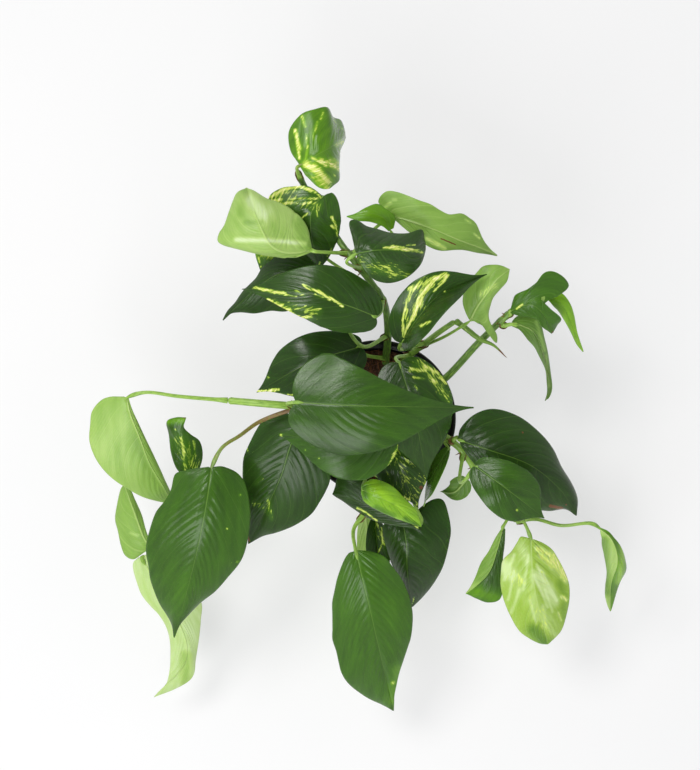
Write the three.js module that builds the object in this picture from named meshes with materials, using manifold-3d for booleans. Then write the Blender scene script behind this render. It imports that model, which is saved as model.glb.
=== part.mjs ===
// A potted pothos: leafy vines that climb out of a black nursery pot and hang over its rim.
// Millimetres, +Z up. The origin is the centre of the pot's underside.
import * as THREE from 'three';
import { ConvexGeometry } from 'three/addons/geometries/ConvexGeometry.js';
import { mergeVertices } from 'three/addons/utils/BufferGeometryUtils.js';
import Module from 'manifold-3d';

// ---- Driving dimensions -------------------------------------------------------------------

const POT_HEIGHT = 108;
const POT_RIM_RADIUS = 60;
const POT_LIP_RADIUS = 58.5;      // at the lip's lower edge
const POT_NECK_RADIUS = 55.5;     // of the wall just below the lip
const POT_BASE_RADIUS = 41;
const POT_WALL = 1.6;
const POT_BASE_THICKNESS = 2.2;
const POT_LIP_HEIGHT = 10;
const POT_LIP_SLOPE = 1.2;        // height of the step from the wall out to the lip
const POT_FOOT_CHAMFER = 1.5;
const POT_EDGE_CHAMFER = 0.4;
const DRAIN_HOLES = 8;
const DRAIN_HOLE_RADIUS = 4.5;
const DRAIN_RING_RADIUS = 31;

const SOIL_TOP = 96;
const SOIL_BUMP = 1.6;            // height of the coarse unevenness of its top
const SOIL_EDGE_DROP = 5;         // the soil's rim is this far below its mean top
const SOIL_RINGS = 5;
const ROUND_SIDES = 36;           // of the pot and the soil

const GAP = 0.3;                  // clearance between two pieces that touch
const VINE_SIDES = 6;

const STALK_SIDES = 5;
const STALK_RADIUS = [0.9, 1.4];  // on a very small and on a large blade
const STALK_TAPER = [1.25, 0.9];  // share of that radius at the vine and at the blade
const STALK_TIP = 0.6;            // share of it at the end that runs into the midrib
const KNEE = { at: 0.85, length: 0.08, swelling: 0.35 };
const SUNK = 0.08;                // the stalk runs this far into the blade, in blade lengths

const BLADE_THICKNESS = 0.75;
const RIB_DEPTH = 0.6;            // how far a midrib stands below its blade, at the base
const RIB_STEPS = 64;
const LARGE_BLADE = 90;           // longer blades get more rows and columns
const BLADE_GRID = { small: [6, 2], large: [7, 3], traced: [9, 2] };  // rows, columns on each half
const STOUT_BLADE = 120;          // length of a blade with the thickest stalk
const SHOULDER = 0.45;            // share of an outline's steps from the base to its widest place
const ROW_SPREAD = 2.2;           // how closely the rows start together at the base
const ROW_SWEEP = 1.3;            // how soon they bend towards the tip
const TRACED_SPREAD = 1.5;        // the row spread of a blade with margins given by points
const TRACED_BLUNT = 0.4;         // half the width that such a blade keeps at its base and tip
const FULL_ARCH_WIDTH = 15;       // a half that is narrower than this arches less
const SPOT_STEP = 0.01;           // between the neighbours that give such a blade's normal

const SHADES = {
  dark: 0x33572a,
  mid: 0x44802e,
  bright: 0x86b93a,
  streaked: 0x5f8f3c,
  under: 0xa3c46c,
  stem: 0x7ba244,
  pot: 0x17181a,
  soil: 0x5a3122,
};

// ---- The vines ----------------------------------------------------------------------------
// Each vine is a smooth curve through hand-set points, from its root in the soil to its end.
// radius: at the root and at the end.

const VINES = {
  north: {
    radius: [3.0, 2.2],
    points: [[7, 39, 80], [6, 43, 96], [7, 63, 130], [4, 85, 160], [-6, 100, 178],
      [-17, 114, 184], [-27, 127, 181], [-40, 147, 172], [-51, 164, 172], [-59, 178, 185]],
  },
  northeast: {
    radius: [2.8, 2.0],
    points: [[19, 36, 80], [19, 43, 96], [29, 52, 121], [44, 64, 144],
      [54, 71, 152], [57, 73, 154]],
  },
  east: {
    radius: [3.2, 2.3],
    points: [[29, 20, 78], [31, 25, 96], [41, 25, 122], [52, 32, 138], [72, 54, 142],
      [82, 64, 143], [91, 73, 147], [101, 82, 153], [109, 89, 157]],
  },
  west: {
    radius: [3.3, 2.6],
    points: [[-16, 12, 78], [-20, 12, 96], [-37, 8, 140], [-64, 10, 166], [-88, 12, 171],
      [-112, 14, 165]],
  },
  southwest: {
    radius: [3.0, 2.2],
    points: [[-18, -13, 80], [-22, -17, 98], [-52, -39, 120], [-99, -57, 108], [-139, -68, 90],
      [-167, -85, 75], [-178, -101, 68]],
  },
  south: {
    radius: [3.0, 2.4],
    points: [[7, -24, 80], [6, -30, 98], [0, -49, 115], [-6, -64, 114], [-11, -74, 108]],
  },
  south_short: {
    radius: [2.8, 2.3],
    points: [[20, -19, 80], [20, -27, 98], [24, -46, 115], [22, -61, 110]],
  },
  southeast: {
    radius: [3.0, 2.2],
    points: [[33, -2, 78], [37, -6, 97], [52, -15, 117], [65, -26, 119], [80, -48, 108],
      [96, -69, 96], [109, -81, 90]],
  },
};

// ---- The leaves ---------------------------------------------------------------------------
// vine, at: the vine that the leaf grows on, and its place there, counted in the vine's points.
// stalk: points that the stalk passes between the vine and the blade.
// rib: the midrib's points, from the blade's base to its tip.
// half: the greatest width of each half. left and right, seen along the midrib from the base,
//   can each have values of their own.
// widest, lobe: where the blade is widest, and how far its lobes reach back, in blade lengths.
// full, taper: how full the blade stays past its widest place, and just before its tip.
// fold: how far each half is lifted towards its upper face, at even steps from base to tip.
// curl: how far it bends further by its edge. Angles are in degrees.
// roll: turn of the blade about its midrib, at even steps. At 180 the underside is on top,
//   and left and right change places.
// wave: [height, number, phase] of the waves along the edge.
//
// A leaf with an irregular form has its two margins given point by point instead, each from the
// base to the tip: leftEdge and rightEdge, as they lie to either side of the midrib from above.
// arch: how high a half bulges between the midrib and its margin.
// turned: true where the underside is on top.

const PLAIN_LEAF = {
  half: 24, widest: 0.38, lobe: 0.04, full: 1, taper: 0.14, fold: [0, 0], curl: -12, roll: [0, 0],
  wave: [1, 2, 0], stalk: [], left: {}, right: {}, arch: 1.5, turned: false,
};

const LEAVES = {
  heart: {
    shade: 'mid', vine: 'west', at: 3, stalk: [[-67, 12, 188]],
    rib: [[-60, 13, 205], [-25, 11, 213], [14, 10, 211], [68, 9, 190]],
    half: 37, lobe: 0.06, left: { widest: 0.15, lobe: 0.035, taper: 0.06, full: 0.4, curl: -15 },
    right: { widest: 0.27, taper: 0.05, curl: -25 }, wave: [1.5, 2, 0],
  },
  under_heart: {
    shade: 'mid', vine: 'west', at: 2.2, stalk: [[-8, 0, 165]],
    rib: [[9, -9, 184], [-32, -14, 189], [-74, -11, 174]],
    half: 32, widest: 0.3, lobe: 0.06, wave: [1, 2, 1], fold: [-5, -5],
  },
  east_rim: {
    shade: 'dark', vine: 'northeast', at: 1.6, stalk: [[13, 46, 140]],
    rib: [[15, 41, 166], [26, 3, 174], [36, -45, 140]],
    half: 28, widest: 0.32, lobe: 0.05, left: { half: 31 }, curl: -20,
  },
  west_rim: {
    shade: 'dark', vine: 'north', at: 1.2, stalk: [[-9, 48, 125]],
    rib: [[-14, 54, 146], [-51, 42, 160], [-92, 20, 137]],
    left: { half: 29 }, right: { half: 21, widest: 0.45, taper: 0.25 }, curl: -15, lobe: 0.05,
  },
  southwest_dark: {
    shade: 'dark', vine: 'west', at: 2, stalk: [[-40, 5, 146]],
    rib: [[-57, -4, 152], [-66, -20, 150], [-73, -42, 144], [-84, -66, 130], [-100, -97, 105]],
    leftEdge: [
      [-56, -5, 151], [-49, -13, 149], [-41, -25, 147], [-37, -37, 145], [-37, -46, 143],
      [-40, -54, 140], [-45, -63, 136], [-51, -72, 131], [-60, -79, 126], [-69, -84, 121],
      [-79, -88, 116], [-89, -91, 111], [-100, -97, 105],
    ],
    rightEdge: [
      [-60, -3, 152], [-68, 4, 150], [-78, 2, 147], [-87, -2, 145], [-92, -9, 143], [-97, -19, 141],
      [-101, -29, 139], [-102, -39, 136], [-102, -53, 130], [-101, -66, 123], [-100, -82, 114],
      [-100, -97, 105],
    ],
    arch: 3,
  },
  southwest_big: {
    shade: 'mid', vine: 'west', at: 2.8, stalk: [[-87, -1, 158], [-103, -12, 165], [-116, -21, 169]],
    rib: [
      [-124, -36, 165], [-127, -59, 167], [-133, -89, 162], [-144, -129, 140], [-157, -169, 108],
    ],
    leftEdge: [
      [-122, -35, 164], [-115, -35, 163], [-106, -39, 161], [-100, -47, 159], [-97, -60, 157],
      [-96, -75, 154], [-99, -93, 149], [-104, -107, 144], [-114, -120, 138], [-124, -131, 132],
      [-136, -140, 125], [-146, -150, 119], [-153, -159, 114], [-157, -169, 108],
    ],
    rightEdge: [
      [-126, -35, 164], [-136, -36, 163], [-144, -38, 161], [-151, -41, 159], [-154, -52, 158],
      [-159, -61, 156], [-166, -70, 154], [-171, -83, 151], [-174, -97, 147], [-173, -111, 141],
      [-172, -123, 135], [-167, -138, 126], [-161, -151, 117], [-158, -160, 112], [-157, -169, 108],
    ],
    arch: 3,
  },
  west_pale: {
    shade: 'under', vine: 'west', at: 5, stalk: [[-147, 17, 170], [-171, 20, 172]],
    rib: [
      [-186, 16, 167], [-184, 4, 163], [-178, -14, 155], [-172, -33, 145], [-163, -52, 130],
      [-158, -65, 114],
    ],
    leftEdge: [
      [-185, 15, 167], [-183, 6, 162], [-180, -2, 157], [-174, -17, 149], [-168, -31, 141],
      [-163, -43, 133], [-159, -56, 121], [-158, -65, 114],
    ],
    rightEdge: [
      [-188, 17, 166], [-198, 17, 163], [-206, 14, 160], [-213, 6, 156], [-215, -4, 152],
      [-216, -16, 149], [-213, -27, 146], [-208, -36, 143], [-201, -44, 140], [-192, -51, 136],
      [-180, -59, 127], [-170, -63, 120], [-162, -65, 116], [-158, -65, 114],
    ],
    turned: true, arch: 2,
  },
  west_small: {
    shade: 'streaked', vine: 'southwest', at: 4, stalk: [[-141, -53, 108]],
    rib: [[-144, -46, 118], [-144, -28, 130], [-149, -13, 138], [-145, 1, 142]],
    leftEdge: [
      [-145, -46, 118], [-153, -39, 121], [-157, -26, 126], [-158, -12, 132], [-159, -2, 138],
      [-152, 1, 141], [-145, 1, 142],
    ],
    rightEdge: [
      [-142, -46, 118], [-136, -36, 121], [-134, -26, 125], [-136, -17, 130], [-142, -12, 135],
      [-147, -6, 139], [-145, 1, 142],
    ],
    arch: 1.5,
  },
  west_low: {
    shade: 'under', vine: 'southwest', at: 4.8, stalk: [[-172, -97, 84]],
    rib: [[-178, -102, 84], [-183, -92, 90], [-189, -73, 97], [-197, -52, 95]],
    leftEdge: [
      [-180, -104, 83], [-186, -107, 80], [-192, -111, 78], [-198, -108, 78], [-201, -100, 80],
      [-203, -89, 83], [-205, -79, 86], [-203, -67, 89], [-200, -56, 92], [-197, -52, 95],
    ],
    rightEdge: [
      [-177, -101, 84], [-181, -88, 89], [-184, -76, 92], [-189, -64, 94], [-193, -55, 95],
      [-197, -52, 95],
    ],
    turned: true, arch: 1.5,
  },
  west_trailing: {
    shade: 'under', vine: 'southwest', at: 6, stalk: [[-180, -109, 76]],
    rib: [
      [-185, -110, 79], [-172, -134, 83], [-159, -156, 77], [-151, -181, 66], [-156, -201, 53],
      [-180, -227, 36],
    ],
    leftEdge: [
      [-183, -108, 79], [-173, -114, 80], [-159, -121, 81], [-146, -132, 80], [-139, -146, 76],
      [-140, -160, 70], [-142, -177, 63], [-145, -194, 55], [-147, -206, 49], [-152, -213, 45],
      [-163, -220, 41], [-171, -224, 38], [-180, -227, 36],
    ],
    rightEdge: [
      [-188, -110, 78], [-192, -114, 77], [-192, -120, 77], [-189, -130, 77], [-185, -140, 76],
      [-178, -149, 74], [-172, -156, 71], [-167, -166, 67], [-165, -177, 62], [-165, -190, 56],
      [-166, -203, 49], [-169, -215, 43], [-174, -222, 39], [-180, -227, 36],
    ],
    turned: true, arch: 2,
  },
  south_front: {
    shade: 'mid', vine: 'south', at: 4, stalk: [[-19, -86, 114]],
    rib: [[-17, -101, 130], [-12, -122, 132], [-6, -147, 125], [1, -179, 105], [13, -234, 60]],
    leftEdge: [
      [-16, -100, 129], [-9, -101, 128], [-2, -103, 127], [5, -106, 126], [10, -112, 124],
      [17, -121, 122], [21, -130, 119], [24, -139, 116], [26, -150, 112], [26, -160, 108],
      [25, -170, 104], [23, -178, 99], [20, -189, 93], [17, -200, 86], [15, -209, 80],
      [13, -219, 73], [13, -227, 66], [13, -234, 60],
    ],
    rightEdge: [
      [-19, -101, 129], [-22, -102, 128], [-25, -106, 127], [-28, -113, 125], [-31, -122, 122],
      [-33, -131, 119], [-35, -141, 116], [-35, -151, 113], [-35, -162, 109], [-35, -171, 105],
      [-32, -181, 100], [-30, -190, 95], [-28, -198, 90], [-24, -206, 85], [-18, -213, 79],
      [-8, -221, 71], [4, -228, 64], [13, -234, 60],
    ],
    arch: 3,
  },
  south_dark: {
    shade: 'dark', vine: 'south_short', at: 3, stalk: [[19, -68, 110]],
    rib: [[19, -80, 103], [22, -98, 105], [23, -120, 96], [28, -151, 62]],
    leftEdge: [
      [22, -79, 103], [32, -70, 103], [43, -63, 103], [50, -64, 102], [54, -75, 100], [56, -87, 98],
      [55, -97, 95], [53, -108, 91], [50, -118, 87], [45, -128, 81], [40, -136, 75], [34, -144, 68],
      [28, -151, 62],
    ],
    rightEdge: [
      [18, -80, 103], [11, -79, 102], [5, -82, 101], [4, -89, 99], [6, -99, 96], [9, -109, 91],
      [13, -119, 85], [18, -130, 77], [23, -142, 69], [28, -151, 62],
    ],
    arch: 2.5,
  },
  south_rim: {
    shade: 'dark', vine: 'south_short', at: 2, stalk: [[27, -64, 119], [33, -77, 122]],
    rib: [[30, -82, 124], [13, -74, 126], [-10, -65, 124], [-35, -58, 116]],
    leftEdge: [
      [31, -84, 123], [17, -82, 121], [3, -79, 119], [-9, -75, 117], [-19, -69, 116],
      [-27, -63, 115], [-32, -60, 115], [-35, -58, 116],
    ],
    rightEdge: [
      [28, -79, 124], [16, -62, 125], [-3, -50, 125], [-22, -45, 122], [-31, -46, 119],
      [-33, -52, 117], [-35, -58, 116],
    ],
    arch: 2,
  },
  south_young: {
    shade: 'bright', vine: 'south', at: 1.8, stalk: [[-7, -41, 142]],
    rib: [[-13, -52, 158], [-3, -57, 163], [12, -64, 158], [32, -81, 140]],
    leftEdge: [
      [-13, -49, 158], [-8, -45, 159], [-1, -45, 160], [10, -50, 159], [19, -59, 155],
      [28, -69, 148], [32, -81, 140],
    ],
    rightEdge: [
      [-13, -55, 157], [-10, -61, 156], [1, -68, 153], [11, -73, 149], [22, -77, 145],
      [32, -81, 140],
    ],
    arch: 3,
  },
  south_speckled: {
    shade: 'dark', vine: 'south_short', at: 1.4, stalk: [[8, -13, 122]],
    rib: [[6, -12, 138], [16, -37, 144], [30, -68, 130]],
    left: { half: 26 }, right: { half: 19 }, curl: -20,
  },
  south_hidden: {
    shade: 'streaked', vine: 'south', at: 3.6, stalk: [[-2, -72, 98]],
    rib: [[-2, -79, 86], [0, -103, 78], [6, -140, 55]],
    half: 10, fold: [30, 30], wave: [0.8, 1.5, 0],
  },
  south_low: {
    shade: 'under', vine: 'south', at: 3.2, stalk: [[-9, -68, 90]],
    rib: [[-9, -78, 72], [-7, -106, 58], [-5, -144, 34]],
    half: 9, roll: [180, 180], wave: [0.8, 1.5, 0],
  },
  east_edge: {
    shade: 'mid', vine: 'southeast', at: 1.5, stalk: [[52, -21, 130]],
    rib: [[52, -24, 137], [41, -44, 130], [35, -68, 112]],
    half: 14, roll: [70, 70], curl: 0, wave: [0.8, 1.5, 0],
  },
  east_under: {
    shade: 'under', vine: 'southeast', at: 3.6, stalk: [[71, -45, 100]],
    rib: [[69, -48, 95], [60, -58, 90], [49, -58, 84]],
    half: 9, fold: [10, 10], curl: 0, roll: [180, 180], taper: 0.2, wave: [0.5, 1, 0],
  },
  east_big: {
    shade: 'dark', vine: 'southeast', at: 2.3, stalk: [[59, -14, 136]],
    rib: [[60, -16, 150], [82, -23, 158], [112, -34, 158], [136, -53, 142], [151, -74, 122]],
    leftEdge: [
      [59, -14, 150], [61, -7, 151], [69, 2, 153], [81, 7, 152], [94, 6, 150], [108, 0, 149],
      [121, -11, 147], [131, -23, 143], [138, -36, 139], [146, -49, 133], [151, -62, 126],
      [151, -74, 122],
    ],
    rightEdge: [
      [61, -17, 150], [63, -23, 150], [70, -33, 149], [82, -46, 144], [95, -57, 138],
      [111, -66, 131], [129, -70, 125], [143, -69, 122], [151, -74, 122],
    ],
    arch: 4,
  },
  east_green: {
    shade: 'mid', vine: 'southeast', at: 3, stalk: [[61, -46, 136], [63, -45, 165]],
    rib: [[70, -34, 178], [92, -50, 184], [122, -73, 163]],
    half: 20, widest: 0.5, taper: 0.25, curl: -15,
  },
  southeast_light: {
    shade: 'streaked', vine: 'southeast', at: 5, stalk: [[103, -76, 110], [110, -78, 124]],
    rib: [[116, -92, 125], [117, -115, 126], [122, -143, 118], [133, -177, 88]],
    leftEdge: [
      [118, -92, 125], [125, -95, 124], [132, -100, 121], [137, -107, 118], [142, -116, 114],
      [146, -127, 110], [147, -139, 105], [146, -150, 100], [143, -164, 94], [138, -172, 90],
      [133, -177, 88],
    ],
    rightEdge: [
      [115, -91, 125], [109, -90, 123], [106, -95, 120], [102, -102, 117], [96, -109, 114],
      [95, -118, 111], [95, -129, 109], [98, -141, 106], [103, -153, 102], [110, -165, 97],
      [119, -172, 92], [127, -176, 89], [133, -177, 88],
    ],
    arch: 2.5,
  },
  southeast_fold: {
    shade: 'under', vine: 'southeast', at: 5.2, stalk: [[100, -78, 101]],
    rib: [[97, -84, 104], [93, -101, 99], [88, -119, 90], [79, -131, 82], [70, -139, 74]],
    leftEdge: [
      [98, -86, 104], [98, -99, 99], [97, -112, 93], [98, -127, 86], [96, -142, 79], [87, -145, 77],
      [78, -142, 75], [70, -139, 74],
    ],
    rightEdge: [
      [96, -85, 104], [91, -93, 101], [86, -104, 96], [81, -113, 90], [77, -125, 83],
      [73, -134, 77], [70, -139, 74],
    ],
    turned: true, arch: 2,
  },
  southeast_end: {
    shade: 'mid', vine: 'southeast', at: 6, stalk: [[122, -78, 108], [140, -82, 118], [161, -80, 121]],
    rib: [
      [170, -85, 118], [177, -91, 121], [182, -101, 119], [184, -113, 110], [182, -130, 92],
      [185, -154, 66],
    ],
    leftEdge: [
      [170, -84, 118], [176, -87, 119], [182, -94, 116], [187, -101, 110], [191, -110, 102],
      [193, -119, 94], [190, -129, 86], [187, -141, 78], [185, -154, 66],
    ],
    rightEdge: [
      [170, -86, 117], [172, -96, 108], [175, -107, 101], [178, -120, 93], [178, -131, 86],
      [179, -140, 79], [182, -148, 72], [185, -154, 66],
    ],
    arch: 1,
  },
  north_end: {
    shade: 'streaked', vine: 'north', at: 8.85, stalk: [[-60, 182, 193]],
    rib: [
      [-58, 184, 193], [-49, 189, 199], [-40, 194, 199], [-33, 199, 190], [-28, 205, 168],
      [-25, 212, 142],
    ],
    leftEdge: [
      [-58, 186, 193], [-64, 194, 192], [-66, 206, 192], [-63, 214, 193], [-56, 221, 195],
      [-47, 224, 196], [-38, 226, 192], [-34, 222, 172], [-28, 221, 158], [-25, 212, 142],
    ],
    rightEdge: [
      [-57, 183, 193], [-52, 176, 194], [-45, 169, 192], [-38, 168, 188], [-34, 172, 180],
      [-30, 177, 172], [-30, 188, 162], [-31, 196, 155], [-28, 204, 146], [-25, 212, 142],
    ],
  },
  north_pale: {
    shade: 'under', vine: 'north', at: 5.6, stalk: [[-45, 121, 203]],
    rib: [
      [-50, 122, 200], [-66, 120, 208], [-77, 124, 214], [-84, 135, 217], [-90, 150, 212],
      [-96, 167, 199],
    ],
    leftEdge: [
      [-50, 121, 200], [-58, 119, 202], [-67, 118, 203], [-85, 121, 203], [-101, 124, 202],
      [-111, 126, 201], [-116, 129, 201], [-115, 134, 202], [-111, 140, 203], [-108, 150, 203],
      [-105, 159, 202], [-102, 164, 201], [-96, 167, 199],
    ],
    rightEdge: [
      [-49, 124, 200], [-51, 135, 202], [-56, 144, 204], [-65, 152, 206], [-73, 156, 206],
      [-82, 159, 205], [-91, 165, 202], [-96, 167, 199],
    ],
    turned: true, arch: 5,
  },
  north_streaked: {
    shade: 'streaked', vine: 'north', at: 7, stalk: [[-43, 160, 181]],
    rib: [[-41, 162, 191], [-47, 155, 196], [-50, 146, 198], [-49, 130, 192], [-43, 112, 173]],
    leftEdge: [
      [-39, 162, 190], [-35, 165, 190], [-31, 160, 189], [-29, 150, 187], [-29, 141, 185],
      [-32, 130, 182], [-37, 120, 177], [-43, 112, 173],
    ],
    rightEdge: [
      [-43, 162, 191], [-47, 166, 192], [-53, 169, 193], [-61, 169, 192], [-71, 168, 188],
      [-80, 162, 184], [-78, 151, 184], [-70, 138, 183], [-58, 125, 180], [-49, 117, 176],
      [-43, 112, 173],
    ],
  },
  north_hidden: {
    shade: 'streaked', vine: 'north', at: 3.6, stalk: [[-36, 117, 158], [-55, 133, 154]],
    rib: [[-69, 134, 152], [-77, 117, 152], [-77, 98, 144], [-72, 81, 132]],
    leftEdge: [[-68, 134, 151], [-59, 123, 149], [-56, 108, 145], [-60, 93, 139], [-72, 81, 132]],
    rightEdge: [
      [-71, 135, 151], [-83, 137, 151], [-91, 131, 150], [-92, 123, 149], [-89, 113, 147],
      [-85, 101, 142], [-79, 90, 136], [-72, 81, 132],
    ],
    arch: 2,
  },
  northwest_dark: {
    shade: 'dark', vine: 'north', at: 2, stalk: [[-12, 54, 156], [-26, 72, 168]],
    rib: [[-39, 104, 163], [-58, 109, 167], [-77, 106, 165], [-96, 93, 156], [-117, 74, 143]],
    leftEdge: [
      [-39, 102, 162], [-44, 96, 159], [-55, 89, 156], [-68, 81, 152], [-81, 81, 150],
      [-93, 79, 148], [-104, 80, 146], [-112, 79, 144], [-117, 74, 143],
    ],
    rightEdge: [
      [-40, 106, 163], [-44, 113, 163], [-51, 120, 162], [-60, 123, 161], [-70, 123, 160],
      [-79, 119, 159], [-87, 112, 157], [-92, 104, 155], [-101, 95, 151], [-107, 87, 147],
      [-113, 81, 144], [-117, 74, 143],
    ],
    arch: 2,
  },
  northwest_streaked: {
    shade: 'dark', vine: 'north', at: 3.2, stalk: [[1, 79, 178]],
    rib: [[-3, 75, 188], [-22, 82, 200], [-52, 91, 205], [-100, 95, 188]],
    left: { half: 21 }, right: { half: 24 }, widest: 0.32, lobe: 0.05,
  },
  north_round: {
    shade: 'dark', vine: 'north', at: 4.7, stalk: [[-24, 113, 208]],
    rib: [[-17, 119, 213], [-4, 121, 217], [14, 122, 213], [26, 125, 201], [33, 129, 190]],
    leftEdge: [
      [-18, 121, 213], [-20, 129, 211], [-22, 141, 206], [-17, 143, 205], [-10, 139, 204],
      [-2, 137, 203], [9, 134, 203], [20, 134, 200], [30, 137, 194], [33, 129, 190],
    ],
    rightEdge: [
      [-17, 118, 213], [-12, 109, 212], [-4, 101, 208], [7, 99, 203], [19, 103, 199],
      [29, 112, 195], [33, 122, 191], [33, 129, 190],
    ],
  },
  north_young: {
    shade: 'bright', vine: 'north', at: 5, stalk: [[-6, 128, 180], [9, 133, 174]],
    rib: [[8, 139, 178], [3, 147, 185], [-7, 150, 188], [-24, 148, 184]],
    leftEdge: [[7, 138, 178], [2, 142, 181], [-6, 145, 183], [-16, 146, 184], [-24, 148, 184]],
    rightEdge: [
      [10, 140, 178], [11, 148, 180], [5, 153, 183], [-2, 157, 184], [-10, 154, 186],
      [-17, 150, 186], [-24, 148, 184],
    ],
  },
  north_light: {
    shade: 'under', vine: 'north', at: 5.4, stalk: [[-8, 136, 172]],
    rib: [
      [9, 150, 171], [24, 145, 176], [38, 140, 177], [59, 132, 169], [75, 127, 160], [88, 122, 151],
    ],
    leftEdge: [
      [8, 152, 171], [3, 155, 172], [-1, 159, 173], [1, 164, 175], [6, 167, 177], [13, 166, 179],
      [21, 163, 181], [28, 160, 182], [37, 157, 181], [44, 153, 179], [51, 150, 177],
      [60, 151, 173], [66, 148, 169], [71, 144, 165], [76, 134, 159], [82, 127, 154],
      [88, 122, 151],
    ],
    rightEdge: [
      [10, 149, 170], [15, 145, 170], [22, 139, 169], [30, 133, 169], [37, 128, 168],
      [46, 125, 167], [57, 126, 164], [65, 126, 160], [75, 124, 155], [88, 122, 151],
    ],
    turned: true, arch: 2,
  },
  northeast_streaked: {
    shade: 'streaked', vine: 'northeast', at: 2.4, stalk: [[16, 52, 150]],
    rib: [[17, 57, 168], [27, 73, 183], [44, 91, 191], [78, 106, 185]],
    half: 21, left: { fold: [15, 15] }, right: { fold: [62, 62] }, lobe: 0.03,
  },
  northeast_pale: {
    shade: 'under', vine: 'northeast', at: 2.2, stalk: [[48, 61, 142], [60, 68, 159]],
    rib: [[67, 73, 168], [72, 83, 173], [79, 93, 178], [86, 103, 180], [95, 110, 177]],
    leftEdge: [
      [66, 75, 168], [62, 84, 168], [62, 92, 169], [64, 100, 172], [70, 106, 175], [76, 112, 178],
      [84, 113, 179], [90, 112, 179], [95, 110, 177],
    ],
    rightEdge: [
      [68, 73, 167], [73, 73, 166], [78, 69, 163], [82, 63, 158], [87, 57, 152], [87, 63, 155],
      [82, 70, 161], [80, 77, 165], [81, 84, 169], [83, 90, 172], [88, 96, 174], [93, 102, 176],
      [95, 110, 177],
    ],
    turned: true, arch: 2,
  },
  east_top: {
    shade: 'dark', vine: 'east', at: 6.5, stalk: [[98, 78, 153]],
    rib: [[97, 80, 155], [106, 84, 162], [114, 84, 165], [122, 77, 160], [130, 65, 146]],
    leftEdge: [
      [96, 81, 155], [100, 83, 156], [100, 90, 160], [103, 93, 164], [110, 96, 168],
      [115, 100, 172], [121, 107, 175], [128, 108, 174], [136, 104, 170], [140, 98, 165],
      [134, 93, 164], [125, 91, 166], [119, 89, 168], [126, 82, 163], [135, 75, 155],
      [133, 70, 148], [130, 64, 144],
    ],
    rightEdge: [
      [98, 79, 154], [105, 77, 156], [112, 76, 158], [118, 74, 157], [122, 69, 152], [127, 66, 147],
      [130, 64, 144],
    ],
    arch: 1,
  },
  east_young: {
    shade: 'bright', vine: 'east', at: 7.8, stalk: [[120, 91, 149]],
    rib: [[126, 91, 150], [135, 87, 152], [143, 76, 140], [150, 63, 125], [158, 51, 108]],
    leftEdge: [
      [127, 92, 150], [132, 94, 152], [137, 93, 152], [143, 86, 148], [147, 77, 140],
      [151, 64, 126], [158, 51, 108],
    ],
    rightEdge: [
      [126, 90, 150], [129, 87, 148], [135, 82, 142], [141, 74, 134], [147, 65, 124],
      [152, 57, 114], [158, 51, 108],
    ],
    arch: 2,
  },
  east_hanging: {
    shade: 'mid', vine: 'east', at: 6, stalk: [[93, 70, 146]],
    rib: [
      [99, 71, 148], [107, 70, 146], [117, 65, 138], [125, 52, 118], [133, 36, 85], [136, 21, 65],
      [134, 13, 58],
    ],
    leftEdge: [
      [100, 73, 148], [104, 77, 146], [111, 78, 145], [119, 76, 143], [123, 70, 137],
      [126, 61, 128], [130, 51, 112], [135, 37, 86], [138, 24, 67], [137, 16, 60], [134, 13, 58],
    ],
    rightEdge: [
      [99, 70, 148], [105, 67, 146], [112, 60, 138], [119, 54, 126], [125, 46, 108], [131, 37, 88],
      [134, 26, 70], [135, 19, 62], [134, 13, 58],
    ],
    turned: true, arch: 1,
  },
};

// A leaf that is still rolled up. It starts at the end of its vine.
const ROLLED_LEAF = {
  vine: 'northeast',
  radius: 1.7,
  steps: 9,
  points: [[63, 69, 151], [75, 60, 150], [86, 55, 148], [96, 46, 142]],
};
// ---- Solids and closed meshes -------------------------------------------------------------

const wasm = await Module();
wasm.setup();

function solid(geometry) {
  const bare = geometry.clone();
  bare.deleteAttribute('normal');
  bare.deleteAttribute('uv');
  const merged = mergeVertices(bare, 1e-4);
  return new wasm.Manifold(new wasm.Mesh({
    numProp: 3,
    vertProperties: new Float32Array(merged.attributes.position.array),
    triVerts: new Uint32Array(merged.index.array),
  }));
}

function geometryOf(manifold) {
  const { vertProperties, triVerts } = manifold.getMesh();
  const geometry = new THREE.BufferGeometry();
  geometry.setAttribute('position', new THREE.BufferAttribute(vertProperties.slice(), 3));
  geometry.setIndex(new THREE.BufferAttribute(triVerts.slice(), 1));
  geometry.computeVertexNormals();
  return geometry;
}

// A closed skin from rings of equal length: quads between the rings, a flat cap at each end.
function skin(rings) {
  const count = rings[0].length;
  const positions = rings.flat().flatMap((point) => point.toArray());
  const index = [];
  for (let ring = 0; ring < rings.length - 1; ring += 1) {
    for (let i = 0; i < count; i += 1) {
      const a = ring * count + i;
      const b = ring * count + (i + 1) % count;
      index.push(a, b, b + count, a, b + count, a + count);
    }
  }
  const last = (rings.length - 1) * count;
  for (let i = 1; i < count - 1; i += 1) {
    index.push(0, i + 1, i);
    index.push(last, last + i, last + i + 1);
  }
  const geometry = new THREE.BufferGeometry();
  geometry.setAttribute('position', new THREE.Float32BufferAttribute(positions, 3));
  geometry.setIndex(index);
  return geometry;
}

function smoothCurve(points) {
  return new THREE.CatmullRomCurve3(points.map((p) => new THREE.Vector3(...p)), false, 'catmullrom');
}

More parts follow.
